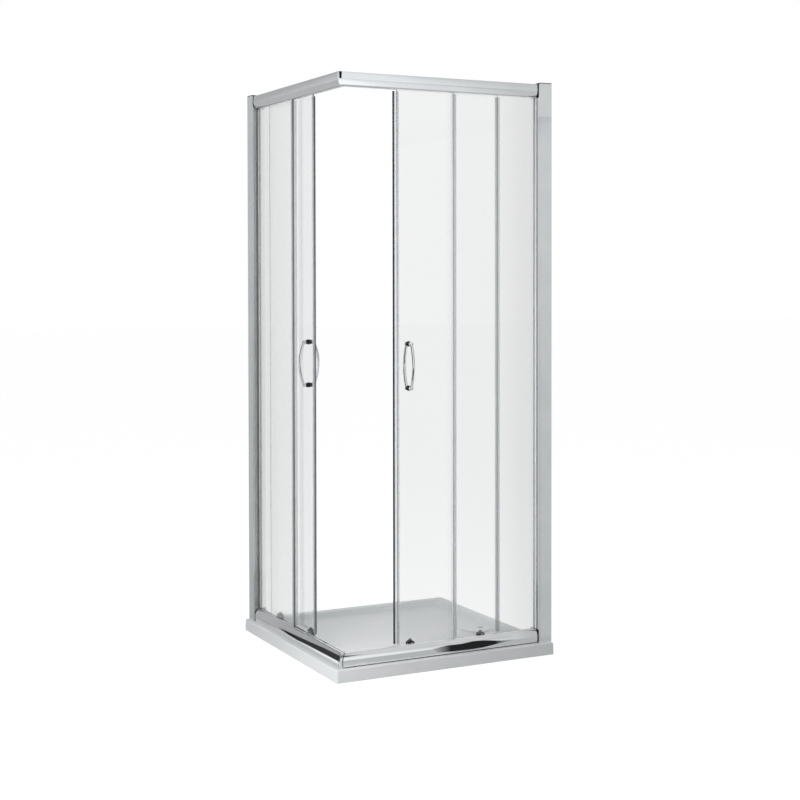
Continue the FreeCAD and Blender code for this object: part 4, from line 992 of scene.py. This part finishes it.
def placed(shaper, part):
    """Instances of a part on the points, with its +Z turned the way each point faces."""
    way = shaper.add("GeometryNodeInputNamedAttribute", {"Name": "facing"}, data_type="FLOAT_VECTOR")
    turned = shaper.add("FunctionNodeAlignRotationToVector", {"Vector": way.outputs["Attribute"]}, axis="Z")
    return shaper.add("GeometryNodeInstanceOnPoints", {
        "Points": shaper.given.outputs["Points"], "Instance": part, "Rotation": turned.outputs[0]}).outputs[0]


print("node tree helpers ready")

# %% [markdown]
# ### Coil springs
# Each release button stands on a small spring that pushes its wheel back up to the track. The wire follows a spiral,
# and each spring is a piece of its own, made in its rest shape; the real one flattens towards its foot when the
# button is pressed.

# %% Coil springs
SPRING_TURNS = 5.5
WIRE_RADIUS = 0.6 * MM

coil = Shaper("coil_spring", Turns=SPRING_TURNS, Radius=4 * MM, Height=10 * MM, Wire=WIRE_RADIUS)
wire_width = coil.maths("MULTIPLY", coil.given.outputs["Wire"], 2.0)
middle_radius = coil.maths("SUBTRACT", coil.given.outputs["Radius"], coil.given.outputs["Wire"])
spiral = coil.add("GeometryNodeCurveSpiral", {
    "Resolution": 24, "Rotations": coil.given.outputs["Turns"], "Start Radius": middle_radius,
    "End Radius": middle_radius, "Height": coil.maths("SUBTRACT", coil.given.outputs["Height"], wire_width)})
section = coil.add("GeometryNodeCurvePrimitiveCircle", {"Resolution": 10, "Radius": coil.given.outputs["Wire"]})
wire = coil.add("GeometryNodeCurveToMesh", {
    "Curve": spiral.outputs[0], "Profile Curve": section.outputs[0], "Fill Caps": True})
foot = coil.add("ShaderNodeCombineXYZ", {"Z": coil.given.outputs["Wire"]})
raised_wire = coil.add("GeometryNodeTransform", {"Geometry": wire.outputs[0], "Translation": foot.outputs[0]})
coil.close(placed(coil, raised_wire.outputs[0]))

for run, side in enumerate(SIDES):
    node = f"{side}_release_springs"
    springs = sorted(islands(node), key=lambda points: min(point[run] for point in points))
    for end, points in zip(("front", "rear"), springs):
        low, high = box_of(points)
        seat = Vector(((low.x + high.x) / 2, (low.y + high.y) / 2, low.z))
        name = f"{side}_{end}_spring"
        mesh = coil.run(name, points_mesh(name, [seat], [(0, 0, 1)]), finishes["stainless"],
                        Radius=(high.x - low.x) / 2, Height=high.z - low.z)
        spring = add_piece(name, mesh, node_body[node], node_slots[node], finishes["stainless"])
        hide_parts(node)
        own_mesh(spring)
        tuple(seat)

# %% [markdown]
# ### Screws
# Screws hold the posts to the rails and the channels, and bolts hold the roller housings to the glass. One tree makes
# them all: a tapered head with a cross recess cut into it, and a shank. Each screw's place, direction and sizes are
# read from its solid, and screws of one size are made together.

# %% Screws
HEAD_TAPER = 0.8
RECESS_LONG = 1.15
RECESS_WIDE = 0.28
HEAD_SHARE = 0.95
TIP_DEEP = 0.1 * MM

screw = Shaper("pan_head_screw", HeadRadius=3.6 * MM, HeadHeight=2.2 * MM, ShankRadius=2 * MM, ShankLength=10 * MM)
sizes = screw.given.outputs
head = screw.add("GeometryNodeMeshCone", {
    "Vertices": 40, "Radius Top": screw.maths("MULTIPLY", sizes["HeadRadius"], HEAD_TAPER),
    "Radius Bottom": sizes["HeadRadius"], "Depth": sizes["HeadHeight"]})
arms = []
for long_way, short_way in (("X", "Y"), ("Y", "X")):
    arm_size = screw.add("ShaderNodeCombineXYZ", {
        long_way: screw.maths("MULTIPLY", sizes["HeadRadius"], RECESS_LONG),
        short_way: screw.maths("MULTIPLY", sizes["HeadRadius"], RECESS_WIDE), "Z": sizes["HeadHeight"]})
    arms.append(screw.add("GeometryNodeMeshCube", {"Size": arm_size.outputs[0]}).outputs[0])
recess = screw.add("GeometryNodeJoinGeometry")
for arm in arms:
    screw.tree.links.new(arm, recess.inputs[0])
at_top = screw.add("ShaderNodeCombineXYZ", {"Z": sizes["HeadHeight"]})
recess_up = screw.add("GeometryNodeTransform", {"Geometry": recess.outputs[0], "Translation": at_top.outputs[0]})
cut_head = screw.add("GeometryNodeMeshBoolean", {"Mesh 1": head.outputs["Mesh"], "Mesh 2": recess_up.outputs[0]},
                     operation="DIFFERENCE")
shank = screw.add("GeometryNodeMeshCylinder", {
    "Vertices": 24, "Radius": sizes["ShankRadius"], "Depth": sizes["ShankLength"]})
below = screw.add("ShaderNodeCombineXYZ", {"Z": screw.maths("MULTIPLY", sizes["ShankLength"], -0.5)})
shank_down = screw.add("GeometryNodeTransform", {"Geometry": shank.outputs["Mesh"], "Translation": below.outputs[0]})
whole = screw.add("GeometryNodeJoinGeometry")
for shape in (cut_head.outputs["Mesh"], shank_down.outputs[0]):
    screw.tree.links.new(shape, whole.inputs[0])
screw.close(placed(screw, whole.outputs[0]))


def measured_screw(points):
    """A screw solid's seat, the way its head faces and its sizes."""
    low, high = box_of(points)
    run = max(range(3), key=lambda axis: high[axis] - low[axis])
    middle = (low + high) / 2
    way = axis_way(run)
    apart = [(point[run], (point - middle - way * (point[run] - middle[run])).length) for point in points]
    widest = max(distance for _, distance in apart)
    head_span = [along for along, distance in apart if distance > HEAD_SHARE * widest]
    forward = 1 if sum(head_span) / len(head_span) > middle[run] else -1
    seat = middle.copy()
    seat[run] = min(head_span) if forward > 0 else max(head_span)
    tip = low[run] if forward > 0 else high[run]
    slim = max(distance for along, distance in apart if abs(along - tip) < TIP_DEEP)
    return seat, way * forward, (widest, max(head_span) - min(head_span), slim, abs(seat[run] - tip))


for node in ["frame_screws"] + of_kind("housing_bolts"):
    kinds = {}
    for points in islands(node):
        seat, way, measures = measured_screw(points)
        kinds.setdefault(tuple(round(value, 5) for value in measures), []).append((seat, way))
    joined = bmesh.new()
    for number, (measures, screws) in enumerate(sorted(kinds.items())):
        head_radius, head_height, shank_radius, shank_length = measures
        name = f"{node}_{number}"
        batch = screw.run(name, points_mesh(name, *zip(*screws)), finishes[node_slots[node]], HeadRadius=head_radius,
                          HeadHeight=head_height, ShankRadius=shank_radius, ShankLength=shank_length)
        joined.from_mesh(batch)
        print(node, "sizes in mm:", [round(value / MM, 2) for value in measures], "screws:", len(screws))
    mesh = bpy.data.meshes.new(f"{node}_dressed")
    joined.to_mesh(mesh)
    joined.free()
    mesh.set_sharp_from_angle(angle=SMOOTH_ANGLE)
    stand_in(node, mesh)

# %% Finish
low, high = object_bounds()
print("visual box:", [round(v, 4) for v in (*low, *high)])
